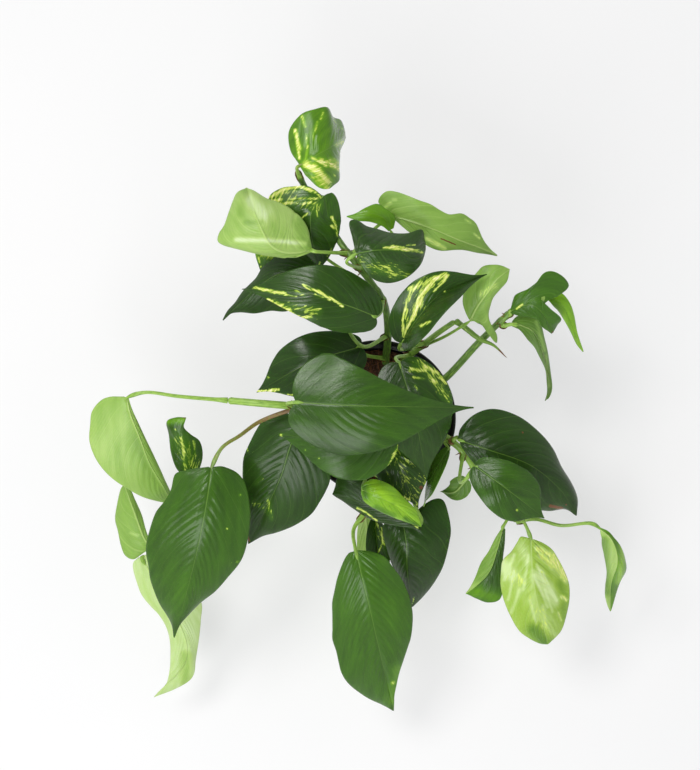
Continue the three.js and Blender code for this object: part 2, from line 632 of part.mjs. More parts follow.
// A round tube along a curve. radiusAt gives its radius at each fraction of its length.
function tube(curve, radiusAt, sides, steps) {
  const frames = curve.computeFrenetFrames(steps, false);
  const rings = [];
  for (let step = 0; step <= steps; step += 1) {
    const centre = curve.getPointAt(step / steps);
    const radius = radiusAt(step / steps);
    const ring = [];
    for (let i = 0; i < sides; i += 1) {
      const angle = 2 * Math.PI * i / sides;
      ring.push(centre.clone()
        .addScaledVector(frames.normals[step], radius * Math.cos(angle))
        .addScaledVector(frames.binormals[step], radius * Math.sin(angle)));
    }
    rings.push(ring);
  }
  return skin(rings);
}

// ---- Pot and soil -------------------------------------------------------------------------

// Outer radius of the pot's tapered wall at a height below the lip.
function potRadius(height) {
  const wall = POT_HEIGHT - POT_LIP_HEIGHT;
  return THREE.MathUtils.mapLinear(height, 0, wall, POT_BASE_RADIUS, POT_NECK_RADIUS);
}

function pot() {
  const neck = POT_HEIGHT - POT_LIP_HEIGHT;
  const innerRim = POT_RIM_RADIUS - POT_WALL;
  const profile = [
    [0, 0],
    [POT_BASE_RADIUS - POT_FOOT_CHAMFER, 0],
    [POT_BASE_RADIUS, POT_FOOT_CHAMFER],
    [POT_NECK_RADIUS, neck],
    [POT_LIP_RADIUS, neck + POT_LIP_SLOPE],
    [POT_RIM_RADIUS, POT_HEIGHT - POT_EDGE_CHAMFER],
    [POT_RIM_RADIUS - POT_EDGE_CHAMFER, POT_HEIGHT],
    [innerRim + POT_EDGE_CHAMFER, POT_HEIGHT],
    [innerRim, POT_HEIGHT - POT_EDGE_CHAMFER],
    [POT_LIP_RADIUS - POT_WALL, neck + POT_LIP_SLOPE + POT_WALL],
    [POT_NECK_RADIUS - POT_WALL, neck + POT_WALL],
    [potRadius(POT_BASE_THICKNESS) - POT_WALL, POT_BASE_THICKNESS],
    [0, POT_BASE_THICKNESS],
  ].map(([radius, height]) => new THREE.Vector2(radius, height));
  const lathe = new THREE.LatheGeometry(profile, ROUND_SIDES);
  lathe.rotateX(Math.PI / 2);
  let body = solid(lathe);
  for (let i = 0; i < DRAIN_HOLES; i += 1) {
    const angle = 2 * Math.PI * i / DRAIN_HOLES;
    const depth = 4 * POT_BASE_THICKNESS;
    const hole = new THREE.CylinderGeometry(DRAIN_HOLE_RADIUS, DRAIN_HOLE_RADIUS, depth, 10);
    hole.rotateX(Math.PI / 2);
    hole.translate(DRAIN_RING_RADIUS * Math.cos(angle), DRAIN_RING_RADIUS * Math.sin(angle), 0);
    body = body.subtract(solid(hole));
  }
  return body;
}

// Height of the soil's uneven top.
function soilHeight(x, y) {
  const coarse = Math.sin(0.21 * x + 1.3) * Math.cos(0.19 * y - 0.6);
  const fine = Math.sin(0.47 * x - 0.8 * Math.cos(0.3 * y));
  return SOIL_TOP + SOIL_BUMP * (coarse + 0.5 * fine);
}

function soil() {
  const inside = (height) => potRadius(height) - POT_WALL - GAP;
  const ring = (radius, heightAt) => Array.from({ length: ROUND_SIDES }, (_, i) => {
    const angle = 2 * Math.PI * i / ROUND_SIDES;
    const x = radius * Math.cos(angle);
    const y = radius * Math.sin(angle);
    return new THREE.Vector3(x, y, heightAt(x, y));
  });
  const bottom = POT_BASE_THICKNESS + GAP;
  const edge = SOIL_TOP - SOIL_EDGE_DROP;
  const rings = [ring(inside(bottom), () => bottom), ring(inside(edge), () => edge)];
  for (let i = 0; i < SOIL_RINGS; i += 1) {
    rings.push(ring(inside(edge) * (1 - i / SOIL_RINGS), soilHeight));
  }
  let body = solid(skin(rings));
  for (const name of Object.keys(VINES)) {
    body = body.subtract(vine(name, GAP));
  }
  return body;
}

// ---- Vines and stalks ---------------------------------------------------------------------

// A vine, or with extra the space that keeps clear of it all round.
function vine(name, extra = 0) {
  const { radius: [root, end], points } = VINES[name];
  const curve = smoothCurve(points);
  curve.points[0].addScaledVector(curve.getTangent(0), -extra);
  curve.points.at(-1).addScaledVector(curve.getTangent(1), extra);
  const radiusAt = (t) => THREE.MathUtils.lerp(root, end, t) + extra;
  return solid(tube(curve, radiusAt, VINE_SIDES, 2 * (points.length - 1)));
}

// A leaf that is still rolled up: a slim spindle that goes on from the end of its vine.
function rolledLeaf() {
  const { vine: carrier, points, radius, steps } = ROLLED_LEAF;
  const curve = smoothCurve([VINES[carrier].points.at(-1), ...points]);
  const swell = (t) => 0.55 + 0.75 * Math.sin(Math.PI * Math.sqrt(t));
  const radiusAt = (t) => radius * swell(t) * (1 - 0.85 * t ** 3);
  return solid(tube(curve, radiusAt, VINE_SIDES, steps)).subtract(vine(carrier, GAP));
}

// The point that a leaf's stalk grows from, on its vine's centre line.
function nodePoint(leaf) {
  const { points } = VINES[leaf.vine];
  return smoothCurve(points).getPoint(leaf.at / (points.length - 1)).toArray();
}

// The stalk thickens into a knee just below the blade, and thins where it joins the midrib.
function stalk(leaf) {
  const rib = smoothCurve(leaf.rib);
  const points = [nodePoint(leaf), ...leaf.stalk, leaf.rib[0], rib.getPointAt(SUNK).toArray()];
  const steps = 2 * (points.length - 1);
  const girth = THREE.MathUtils.lerp(...STALK_RADIUS, Math.min(1, rib.getLength() / STOUT_BLADE));
  const radiusAt = (t) => {
    const knee = KNEE.swelling * Math.exp(-(((t - KNEE.at) / KNEE.length) ** 2));
    return girth * (t === 1 ? STALK_TIP : THREE.MathUtils.lerp(...STALK_TAPER, t) + knee);
  };
  return solid(tube(smoothCurve(points), radiusAt, STALK_SIDES, steps));
}

// ---- Blades -------------------------------------------------------------------------------

function bezier(t, a, b, c, d) {
  const s = 1 - t;
  return s * s * s * a + 3 * s * s * t * b + 3 * s * t * t * c + t * t * t * d;
}

// Between several values at even steps.
function between(values, t) {
  const place = THREE.MathUtils.clamp(t, 0, 1) * (values.length - 1);
  const i = Math.min(Math.floor(place), values.length - 2);
  return THREE.MathUtils.lerp(values[i], values[i + 1], place - i);
}

// The outline of one half: [along the midrib, out from it], in blade lengths and half widths.
// One cubic curve runs from the base to the widest place, and a second one on to the tip.
function outline({ widest, lobe, full, taper }, u) {
  if (u < SHOULDER) {
    const t = u / SHOULDER;
    const pull = widest - 0.55 * (widest + lobe);
    return [bezier(t, -0.01, -2 * lobe, pull, widest), bezier(t, 0.04, 0.45, 1, 1)];
  }
  const t = (u - SHOULDER) / (1 - SHOULDER);
  const pull = 0.45 + 0.35 * full;
  return [bezier(t, widest, widest + 0.3 * full, pull, 1), bezier(t, 1, 1, taper, 0.015)];
}

// The midrib with the blade's sideways direction carried along it without twist.
function midrib(leaf) {
  const curve = smoothCurve(leaf.rib);
  const start = curve.getTangentAt(0);
  const side = new THREE.Vector3(-start.y, start.x, 0).normalize();
  const sides = [];
  for (let step = 0; step <= RIB_STEPS; step += 1) {
    const forward = curve.getTangentAt(step / RIB_STEPS);
    side.addScaledVector(forward, -side.dot(forward)).normalize();
    sides.push(side.clone());
  }
  return { curve, sides, length: curve.getLength() };
}

// A blade's point and upward normal at u, from base to tip, and v, from -1 right to 1 left.
function bladePoint(leaf, rib, u, v) {
  const shape = { ...leaf, ...(v < 0 ? leaf.right : leaf.left) };
  const out = Math.abs(v);
  const [edgeAlong, edgeOut] = outline(shape, u);
  const root = u ** ROW_SPREAD;
  const along = root + (edgeAlong - root) * out ** ROW_SWEEP;
  const y = shape.half * edgeOut * out;

  const inside = THREE.MathUtils.clamp(along, 0, 1);
  const forward = rib.curve.getTangentAt(inside);
  const centre = rib.curve.getPointAt(inside).addScaledVector(forward, (along - inside) * rib.length);
  const side = rib.sides[Math.round(inside * RIB_STEPS)].clone();
  side.addScaledVector(forward, -side.dot(forward)).normalize();
  side.applyAxisAngle(forward, THREE.MathUtils.degToRad(between(shape.roll, inside)));
  const up = forward.clone().cross(side);

  const fold = THREE.MathUtils.degToRad(between(shape.fold, inside));
  const bend = THREE.MathUtils.degToRad(shape.curl) / shape.half + 1e-6;
  const lean = fold + bend * y;
  const across = (Math.sin(lean) - Math.sin(fold)) / bend;
  const [height, number, phase] = shape.wave;
  const wave = height * out * out * Math.sin(2 * Math.PI * number * u + phase) * Math.sin(Math.PI * u);
  const rise = (Math.cos(fold) - Math.cos(lean)) / bend + wave;

  const outward = Math.sign(v) || 0;
  const point = centre.addScaledVector(side, across * outward).addScaledVector(up, rise);
  const normal = up.multiplyScalar(Math.cos(lean)).addScaledVector(side, -Math.sin(lean) * outward);
  return { point, normal: normal.normalize() };
}

// A point of a blade whose margins are given, before its thickness is added.
function tracedSpot(leaf, rib, u, v) {
  const hand = Math.sign(v) * (leaf.turned ? -1 : 1);
  const out = Math.abs(v);
  const root = u ** TRACED_SPREAD;
  const middle = rib.curve.getPointAt(root);
  if (hand === 0) {
    return middle;
  }
  const side = rib.sides[Math.round(root * RIB_STEPS)];
  const margin = rib.margins[hand].getPointAt(u).addScaledVector(side, hand * TRACED_BLUNT);
  const chord = margin.clone().sub(middle);
  const bulge = leaf.arch * Math.min(1, chord.length() / FULL_ARCH_WIDTH) * hand;
  const crest = middle.clone().add(margin).multiplyScalar(0.5)
    .addScaledVector(rib.curve.getTangentAt(root).cross(chord).normalize(), bulge);
  return new THREE.QuadraticBezierCurve3(middle, crest, margin).getPoint(out);
}

// Such a blade's point and the normal of its upper face.
function tracedPoint(leaf, rib, u, v) {
  const spot = (a, b) => tracedSpot(leaf, rib, a, b);
  const along = spot(Math.min(u + SPOT_STEP, 1), v).sub(spot(Math.max(u - SPOT_STEP, 0), v));
  const across = spot(u, Math.min(v + SPOT_STEP, 1)).sub(spot(u, Math.max(v - SPOT_STEP, -1)));
  return { point: spot(u, v), normal: along.cross(across).normalize() };
}

function blade(leaf) {
  const rib = midrib(leaf);
  const traced = 'leftEdge' in leaf;
  if (traced) {
    rib.margins = { 1: smoothCurve(leaf.leftEdge), [-1]: smoothCurve(leaf.rightEdge) };
  }
  const pointAt = traced ? tracedPoint : bladePoint;
  const size = rib.length > LARGE_BLADE ? 'large' : 'small';
  const [rows, columns] = BLADE_GRID[traced ? 'traced' : size];
  const net = [];
  for (let row = 0; row <= rows; row += 1) {
    net.push([]);
    for (let column = -columns; column <= columns; column += 1) {
      const { point, normal } = pointAt(leaf, rib, row / rows, column / columns);
      const depth = column === 0 ? RIB_DEPTH * (1 - row / rows) : 0;
      net[row].push(
        [BLADE_THICKNESS / 2, -BLADE_THICKNESS / 2 - depth]
          .map((offset) => point.clone().addScaledVector(normal, offset)),
      );
    }
  }
  return sheet(net);
}

// A thin solid from a net of point pairs, upper and lower, with a convex block under each half of
// each cell. The blocks share their points, so the sheet is sound where it folds over itself, and
// it is split into triangles alike on both faces.
function sheet(net) {
  const blocks = [];
  for (let row = 0; row < net.length - 1; row += 1) {
    const [here, next] = [net[row], net[row + 1]];
    const middle = (here.length - 1) / 2;
    for (let left = 0; left < here.length - 1; left += 1) {
      const [inner, outer] = left < middle ? [left + 1, left] : [left, left + 1];
      const ends = [...here[inner], ...next[outer]];
      blocks.push([...ends, ...here[outer]], [...ends, ...next[inner]]);
    }
  }
  return wasm.Manifold.union(blocks.map((corners) => solid(new ConvexGeometry(corners))));
}

// A leaf is one piece: its blade and its stalk, cut clear of the vine that it grows on.
function leaf(name) {
  const shape = { ...PLAIN_LEAF, ...LEAVES[name] };
  return blade(shape).add(stalk(shape)).subtract(vine(shape.vine, GAP));
}

// ---- The plant ----------------------------------------------------------------------------

const plant = new THREE.Group();

function place(name, body, shade, roughness) {
  const material = new THREE.MeshStandardMaterial({ color: SHADES[shade], roughness, metalness: 0 });
  const mesh = new THREE.Mesh(geometryOf(body), material);
  mesh.name = name;
  plant.add(mesh);
}

place('pot', pot(), 'pot', 0.45);
place('soil', soil(), 'soil', 0.95);
for (const name of Object.keys(VINES)) {
  place(`vine_${name}`, vine(name), 'stem', 0.5);
}
for (const name of Object.keys(LEAVES)) {
  place(`leaf_${name}`, leaf(name), LEAVES[name].shade, 0.35);
}

place('leaf_northeast_rolled', rolledLeaf(), 'bright', 0.35);

export default plant;
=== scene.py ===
"""A potted pothos: fine leaves, stems, pot and soil in place of the frame's plain ones.

Sizes in the tables are millimetres, as in the frame. +Z is up.
"""

from functools import partial
import math

import bpy
import numpy as np
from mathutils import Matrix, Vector


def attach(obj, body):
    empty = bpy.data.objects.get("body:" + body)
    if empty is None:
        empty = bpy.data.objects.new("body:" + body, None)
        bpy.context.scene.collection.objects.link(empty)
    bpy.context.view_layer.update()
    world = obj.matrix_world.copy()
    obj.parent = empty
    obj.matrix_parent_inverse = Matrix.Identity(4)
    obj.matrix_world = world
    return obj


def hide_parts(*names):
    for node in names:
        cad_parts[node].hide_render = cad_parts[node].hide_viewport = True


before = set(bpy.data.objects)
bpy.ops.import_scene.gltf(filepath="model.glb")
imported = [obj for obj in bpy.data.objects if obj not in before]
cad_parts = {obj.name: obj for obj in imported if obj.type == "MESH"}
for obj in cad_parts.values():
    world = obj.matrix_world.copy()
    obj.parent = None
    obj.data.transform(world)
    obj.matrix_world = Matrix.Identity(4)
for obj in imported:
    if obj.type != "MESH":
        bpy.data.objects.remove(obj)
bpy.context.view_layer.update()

MM = 0.001
STEEP = 0.9                       # a line is steep where its heading's height is more than this

# ---- Pot and soil -------------------------------------------------------------------------

POT_NECK = 98                     # height of the wall's upper end, under the lip
POT_BASE_RADIUS = 41
POT_NECK_RADIUS = 55.5
POT_WALL = 1.6
POT_FLOOR = 2.2
POT_PROFILE = [
    (39.5, 0), (41, 1.5), (55.5, 98), (58.5, 99.2), (60, 107.6), (59.6, 108),
    (58.8, 108), (58.4, 107.6), (56.9, 100.8), (53.9, 99.6),
]
DRAIN_HOLES = 8
DRAIN_HOLE_RADIUS = 4.5
DRAIN_RING_RADIUS = 31
POT_ROUNDING = 0.35
POT_SIDES = 128
SOIL_TOP = 96
SOIL_BUMP = 1.6
SOIL_EDGE = 91                    # height of the soil at the pot's wall
SOIL_GAP = 0.3
SOIL_SIDES, SOIL_RINGS = 120, 52
STREWN_SIDES, STREWN_REACH = 48, 50.5   # the disc that crumbs and threads are strewn on

# ---- Vines --------------------------------------------------------------------------------
# Each vine is a smooth line through its points, from its root in the soil to its end. radius: at
# the root and at the end.

VINES = {
    'north': dict(
        radius=(3.0, 2.2),
        points=[(7, 39, 80), (6, 43, 96), (7, 63, 130), (4, 85, 160), (-6, 100, 178),
            (-17, 114, 184), (-27, 127, 181), (-40, 147, 172), (-51, 164, 172), (-59, 178, 185)],
    ),
    'northeast': dict(
        radius=(2.8, 2.0),
        points=[(19, 36, 80), (19, 43, 96), (29, 52, 121), (44, 64, 144), (54, 71, 152),
            (57, 73, 154)],
    ),
    'east': dict(
        radius=(3.2, 2.3),
        points=[(29, 20, 78), (31, 25, 96), (41, 25, 122), (52, 32, 138), (72, 54, 142),
            (82, 64, 143), (91, 73, 147), (101, 82, 153), (109, 89, 157)],
    ),
    'west': dict(
        radius=(3.3, 2.6),
        points=[(-16, 12, 78), (-20, 12, 96), (-37, 8, 140), (-64, 10, 166), (-88, 12, 171),
            (-112, 14, 165)],
    ),
    'southwest': dict(
        radius=(3.0, 2.2),
        points=[(-18, -13, 80), (-22, -17, 98), (-52, -39, 120), (-99, -57, 108), (-139, -68, 90),
            (-167, -85, 75), (-178, -101, 68)],
    ),
    'south': dict(
        radius=(3.0, 2.4),
        points=[(7, -24, 80), (6, -30, 98), (0, -49, 115), (-6, -64, 114), (-11, -74, 108)],
    ),
    'south_short': dict(
        radius=(2.8, 2.3),
        points=[(20, -19, 80), (20, -27, 98), (24, -46, 115), (22, -61, 110)],
    ),
    'southeast': dict(
        radius=(3.0, 2.2),
        points=[(33, -2, 78), (37, -6, 97), (52, -15, 117), (65, -26, 119), (80, -48, 108),
            (96, -69, 96), (109, -81, 90)],
    ),
}

# ---- The leaves' shapes -------------------------------------------------------------------
# vine, at: the stalk grows from that vine at that count along its points.
# stalk: points between the vine and the blade. rib: the midrib, from the blade's base to tip.
# half: half width. widest: share of the length where it is widest. lobe: how far the base
# runs back. full, taper: fullness of the tip half and of its end. fold, roll, curl: degrees
# that a half stands up from the midrib, that the blade is turned over, and that it bends down.
# wave: height, number and phase of the margin's waves. left, right: what one half has instead.
# left_edge, right_edge: the margin point by point from the base, in place of the rule. Both end
# at tip, or else with the rib. arch: height of such a blade's dome. turned: its underside is up.

LEAVES = {
    'heart': dict(
        vine='west', at=3, stalk=[(-67, 12, 188)],
        rib=[(-60, 13, 205), (-25, 11, 213), (14, 10, 211), (68, 9, 190)],
        half=37, lobe=0.06, left=dict(widest=0.15, lobe=0.035, taper=0.06, full=0.4, curl=-15),
        right=dict(widest=0.27, taper=0.05, curl=-25), wave=[1.5, 2, 0],
    ),
    'under_heart': dict(
        vine='west', at=2.2, stalk=[(-8, 0, 165)],
        rib=[(9, -9, 184), (-32, -14, 189), (-74, -11, 174)],
        half=32, widest=0.3, lobe=0.06, wave=[1, 2, 1], fold=[-5, -5],
    ),
    'east_rim': dict(
        vine='northeast', at=1.6, stalk=[(13, 46, 140)],
        rib=[(15, 41, 166), (26, 3, 174), (36, -45, 140)],
        half=28, widest=0.32, lobe=0.05, left=dict(half=31), curl=-20,
    ),
    'west_rim': dict(
        vine='north', at=1.2, stalk=[(-9, 48, 125)],
        rib=[(-14, 54, 146), (-51, 42, 160), (-92, 20, 137)],
        left=dict(half=29), right=dict(half=21, widest=0.45, taper=0.25), curl=-15, lobe=0.05,
    ),
    'southwest_dark': dict(
        vine='west', at=2, stalk=[(-40, 5, 146)],
        rib=[(-57, -4, 152), (-66, -20, 150), (-73, -42, 144), (-84, -66, 130), (-100, -97, 105)],
        left_edge=[(-56, -5, 151), (-49, -13, 149), (-41, -25, 147), (-37, -37, 145),
            (-37, -46, 143), (-40, -54, 140), (-45, -63, 136), (-51, -72, 131), (-60, -79, 126),
            (-69, -84, 121), (-79, -88, 116), (-89, -91, 111)],
        right_edge=[(-60, -3, 152), (-68, 4, 150), (-78, 2, 147), (-87, -2, 145), (-92, -9, 143),
            (-97, -19, 141), (-101, -29, 139), (-102, -39, 136), (-102, -53, 130), (-101, -66, 123),
            (-100, -82, 114)],
        arch=3,
    ),
    'southwest_big': dict(
        vine='west', at=2.8, stalk=[(-87, -1, 158), (-103, -12, 165), (-116, -21, 169)],
        rib=[(-124, -36, 165), (-127, -59, 167), (-133, -89, 162), (-144, -129, 140),
            (-157, -169, 108)],
        left_edge=[(-122, -35, 164), (-115, -35, 163), (-106, -39, 161), (-100, -47, 159),
            (-97, -60, 157), (-96, -75, 154), (-99, -93, 149), (-104, -107, 144), (-114, -120, 138),
            (-124, -131, 132), (-136, -140, 125), (-146, -150, 119), (-153, -159, 114)],
        right_edge=[(-126, -35, 164), (-136, -36, 163), (-144, -38, 161), (-151, -41, 159),
            (-154, -52, 158), (-159, -61, 156), (-166, -70, 154), (-171, -83, 151),
            (-174, -97, 147), (-173, -111, 141), (-172, -123, 135), (-167, -138, 126),
            (-161, -151, 117), (-158, -160, 112)],
        arch=3,
    ),
    'west_pale': dict(
        vine='west', at=5, stalk=[(-147, 17, 170), (-171, 20, 172)],
        rib=[(-186, 16, 167), (-184, 4, 163), (-178, -14, 155), (-172, -33, 145), (-163, -52, 130),
            (-158, -65, 114)],
        left_edge=[(-185, 15, 167), (-183, 6, 162), (-180, -2, 157), (-174, -17, 149),
            (-168, -31, 141), (-163, -43, 133), (-159, -56, 121)],
        right_edge=[(-188, 17, 166), (-198, 17, 163), (-206, 14, 160), (-213, 6, 156),
            (-215, -4, 152), (-216, -16, 149), (-213, -27, 146), (-208, -36, 143), (-201, -44, 140),
            (-192, -51, 136), (-180, -59, 127), (-170, -63, 120), (-162, -65, 116)],
        turned=True, arch=2,
    ),
    'west_small': dict(
        vine='southwest', at=4, stalk=[(-141, -53, 108)],
        rib=[(-144, -46, 118), (-144, -28, 130), (-149, -13, 138), (-145, 1, 142)],
        left_edge=[(-145, -46, 118), (-153, -39, 121), (-157, -26, 126), (-158, -12, 132),
            (-159, -2, 138), (-152, 1, 141)],
        right_edge=[(-142, -46, 118), (-136, -36, 121), (-134, -26, 125), (-136, -17, 130),
            (-142, -12, 135), (-147, -6, 139)],
        arch=1.5,
    ),
    'west_low': dict(
        vine='southwest', at=4.8, stalk=[(-172, -97, 84)],
        rib=[(-178, -102, 84), (-183, -92, 90), (-189, -73, 97), (-197, -52, 95)],
        left_edge=[(-180, -104, 83), (-186, -107, 80), (-192, -111, 78), (-198, -108, 78),
            (-201, -100, 80), (-203, -89, 83), (-205, -79, 86), (-203, -67, 89), (-200, -56, 92)],
        right_edge=[(-177, -101, 84), (-181, -88, 89), (-184, -76, 92), (-189, -64, 94),
            (-193, -55, 95)],
        turned=True, arch=1.5,
    ),
    'west_trailing': dict(
        vine='southwest', at=6, stalk=[(-180, -109, 76)],
        rib=[(-185, -110, 79), (-172, -134, 83), (-159, -156, 77), (-151, -181, 66),
            (-156, -201, 53), (-180, -227, 36)],
        left_edge=[(-183, -108, 79), (-173, -114, 80), (-159, -121, 81), (-146, -132, 80),
            (-139, -146, 76), (-140, -160, 70), (-142, -177, 63), (-145, -194, 55),
            (-147, -206, 49), (-152, -213, 45), (-163, -220, 41), (-171, -224, 38)],
        right_edge=[(-188, -110, 78), (-192, -114, 77), (-192, -120, 77), (-189, -130, 77),
            (-185, -140, 76), (-178, -149, 74), (-172, -156, 71), (-167, -166, 67),
            (-165, -177, 62), (-165, -190, 56), (-166, -203, 49), (-169, -215, 43),
            (-174, -222, 39)],
        turned=True, arch=2,
    ),
    'south_front': dict(
        vine='south', at=4, stalk=[(-19, -86, 114)],
        rib=[(-17, -101, 130), (-12, -122, 132), (-6, -147, 125), (1, -179, 105), (13, -234, 60)],
        left_edge=[(-16, -100, 129), (-9, -101, 128), (-2, -103, 127), (5, -106, 126),
            (10, -112, 124), (17, -121, 122), (21, -130, 119), (24, -139, 116), (26, -150, 112),
            (26, -160, 108), (25, -170, 104), (23, -178, 99), (20, -189, 93), (17, -200, 86),
            (15, -209, 80), (13, -219, 73), (13, -227, 66)],
        right_edge=[(-19, -101, 129), (-22, -102, 128), (-25, -106, 127), (-28, -113, 125),
            (-31, -122, 122), (-33, -131, 119), (-35, -141, 116), (-35, -151, 113),
            (-35, -162, 109), (-35, -171, 105), (-32, -181, 100), (-30, -190, 95), (-28, -198, 90),
            (-24, -206, 85), (-18, -213, 79), (-8, -221, 71), (4, -228, 64)],
        arch=3,
    ),
    'south_dark': dict(
        vine='south_short', at=3, stalk=[(19, -68, 110)],
        rib=[(19, -80, 103), (22, -98, 105), (23, -120, 96), (28, -151, 62)],
        left_edge=[(22, -79, 103), (32, -70, 103), (43, -63, 103), (50, -64, 102), (54, -75, 100),
            (56, -87, 98), (55, -97, 95), (53, -108, 91), (50, -118, 87), (45, -128, 81),
            (40, -136, 75), (34, -144, 68)],
        right_edge=[(18, -80, 103), (11, -79, 102), (5, -82, 101), (4, -89, 99), (6, -99, 96),
            (9, -109, 91), (13, -119, 85), (18, -130, 77), (23, -142, 69)],
        arch=2.5,
    ),
    'south_rim': dict(
        vine='south_short', at=2, stalk=[(27, -64, 119), (33, -77, 122)],
        rib=[(30, -82, 124), (13, -74, 126), (-10, -65, 124), (-35, -58, 116)],
        left_edge=[(31, -84, 123), (17, -82, 121), (3, -79, 119), (-9, -75, 117), (-19, -69, 116),
            (-27, -63, 115), (-32, -60, 115)],
        right_edge=[(28, -79, 124), (16, -62, 125), (-3, -50, 125), (-22, -45, 122),
            (-31, -46, 119), (-33, -52, 117)],
        arch=2,
    ),
    'south_young': dict(
        vine='south', at=1.8, stalk=[(-7, -41, 142)],
        rib=[(-13, -52, 158), (-3, -57, 163), (12, -64, 158), (32, -81, 140)],
        left_edge=[(-13, -49, 158), (-8, -45, 159), (-1, -45, 160), (10, -50, 159), (19, -59, 155),
            (28, -69, 148)],
        right_edge=[(-13, -55, 157), (-10, -61, 156), (1, -68, 153), (11, -73, 149),
            (22, -77, 145)],
        arch=3,
    ),
    'south_speckled': dict(
        vine='south_short', at=1.4, stalk=[(8, -13, 122)],
        rib=[(6, -12, 138), (16, -37, 144), (30, -68, 130)],
        left=dict(half=26), right=dict(half=19), curl=-20,
    ),
    'south_hidden': dict(
        vine='south', at=3.6, stalk=[(-2, -72, 98)],
        rib=[(-2, -79, 86), (0, -103, 78), (6, -140, 55)],
        half=10, fold=[30, 30], wave=[0.8, 1.5, 0],
    ),
    'south_low': dict(
        vine='south', at=3.2, stalk=[(-9, -68, 90)],
        rib=[(-9, -78, 72), (-7, -106, 58), (-5, -144, 34)],
        half=9, roll=[180, 180], wave=[0.8, 1.5, 0],
    ),
    'east_edge': dict(
        vine='southeast', at=1.5, stalk=[(52, -21, 130)],
        rib=[(52, -24, 137), (41, -44, 130), (35, -68, 112)],
        half=14, roll=[70, 70], curl=0, wave=[0.8, 1.5, 0],
    ),
    'east_under': dict(
        vine='southeast', at=3.6, stalk=[(71, -45, 100)],
        rib=[(69, -48, 95), (60, -58, 90), (49, -58, 84)],
        half=9, fold=[10, 10], curl=0, roll=[180, 180], taper=0.2, wave=[0.5, 1, 0],
    ),
    'east_big': dict(
        vine='southeast', at=2.3, stalk=[(59, -14, 136)],
        rib=[(60, -16, 150), (82, -23, 158), (112, -34, 158), (136, -53, 142), (151, -74, 122)],
        left_edge=[(59, -14, 150), (61, -7, 151), (69, 2, 153), (81, 7, 152), (94, 6, 150),
            (108, 0, 149), (121, -11, 147), (131, -23, 143), (138, -36, 139), (146, -49, 133),
            (151, -62, 126)],
        right_edge=[(61, -17, 150), (63, -23, 150), (70, -33, 149), (82, -46, 144), (95, -57, 138),
            (111, -66, 131), (129, -70, 125), (143, -69, 122)],
        arch=4,
    ),
    'east_green': dict(
        vine='southeast', at=3, stalk=[(61, -46, 136), (63, -45, 165)],
        rib=[(70, -34, 178), (92, -50, 184), (122, -73, 163)],
        half=20, widest=0.5, taper=0.25, curl=-15,
    ),
    'southeast_light': dict(
        vine='southeast', at=5, stalk=[(103, -76, 110), (110, -78, 124)],
        rib=[(116, -92, 125), (117, -115, 126), (122, -143, 118), (133, -177, 88)],
        left_edge=[(118, -92, 125), (125, -95, 124), (132, -100, 121), (137, -107, 118),
            (142, -116, 114), (146, -127, 110), (147, -139, 105), (146, -150, 100), (143, -164, 94),
            (138, -172, 90)],
        right_edge=[(115, -91, 125), (109, -90, 123), (106, -95, 120), (102, -102, 117),
            (96, -109, 114), (95, -118, 111), (95, -129, 109), (98, -141, 106), (103, -153, 102),
            (110, -165, 97), (119, -172, 92), (127, -176, 89)],
        arch=2.5,
    ),
    'southeast_fold': dict(
        vine='southeast', at=5.2, stalk=[(100, -78, 101)],
        rib=[(97, -84, 104), (93, -101, 99), (88, -119, 90), (79, -131, 82), (70, -139, 74)],
        left_edge=[(98, -86, 104), (98, -99, 99), (97, -112, 93), (98, -127, 86), (96, -142, 79),
            (87, -145, 77), (78, -142, 75)],
        right_edge=[(96, -85, 104), (91, -93, 101), (86, -104, 96), (81, -113, 90), (77, -125, 83),
            (73, -134, 77)],
        turned=True, arch=2,
    ),
    'southeast_end': dict(
        vine='southeast', at=6, stalk=[(122, -78, 108), (140, -82, 118), (161, -80, 121)],
        rib=[(170, -85, 118), (177, -91, 121), (182, -101, 119), (184, -113, 110), (182, -130, 92),
            (185, -154, 66)],
        left_edge=[(170, -84, 118), (176, -87, 119), (182, -94, 116), (187, -101, 110),
            (191, -110, 102), (193, -119, 94), (190, -129, 86), (187, -141, 78)],
        right_edge=[(170, -86, 117), (172, -96, 108), (175, -107, 101), (178, -120, 93),
            (178, -131, 86), (179, -140, 79), (182, -148, 72)],
        arch=1,
    ),
    'north_end': dict(
        vine='north', at=8.85, stalk=[(-60, 182, 193)],
        rib=[(-58, 184, 193), (-49, 189, 199), (-40, 194, 199), (-33, 199, 190), (-28, 205, 168),
            (-25, 212, 142)],
        left_edge=[(-58, 186, 193), (-64, 194, 192), (-66, 206, 192), (-63, 214, 193),
            (-56, 221, 195), (-47, 224, 196), (-38, 226, 192), (-34, 222, 172), (-28, 221, 158)],
        right_edge=[(-57, 183, 193), (-52, 176, 194), (-45, 169, 192), (-38, 168, 188),
            (-34, 172, 180), (-30, 177, 172), (-30, 188, 162), (-31, 196, 155), (-28, 204, 146)],
    ),
    'north_pale': dict(
        vine='north', at=5.6, stalk=[(-45, 121, 203)],
        rib=[(-50, 122, 200), (-66, 120, 208), (-77, 124, 214), (-84, 135, 217), (-90, 150, 212),
            (-96, 167, 199)],
        left_edge=[(-50, 121, 200), (-58, 119, 202), (-67, 118, 203), (-85, 121, 203),
            (-101, 124, 202), (-111, 126, 201), (-116, 129, 201), (-115, 134, 202),
            (-111, 140, 203), (-108, 150, 203), (-105, 159, 202), (-102, 164, 201)],
        right_edge=[(-49, 124, 200), (-51, 135, 202), (-56, 144, 204), (-65, 152, 206),
            (-73, 156, 206), (-82, 159, 205), (-91, 165, 202)],
        turned=True, arch=5,
    ),
    'north_streaked': dict(
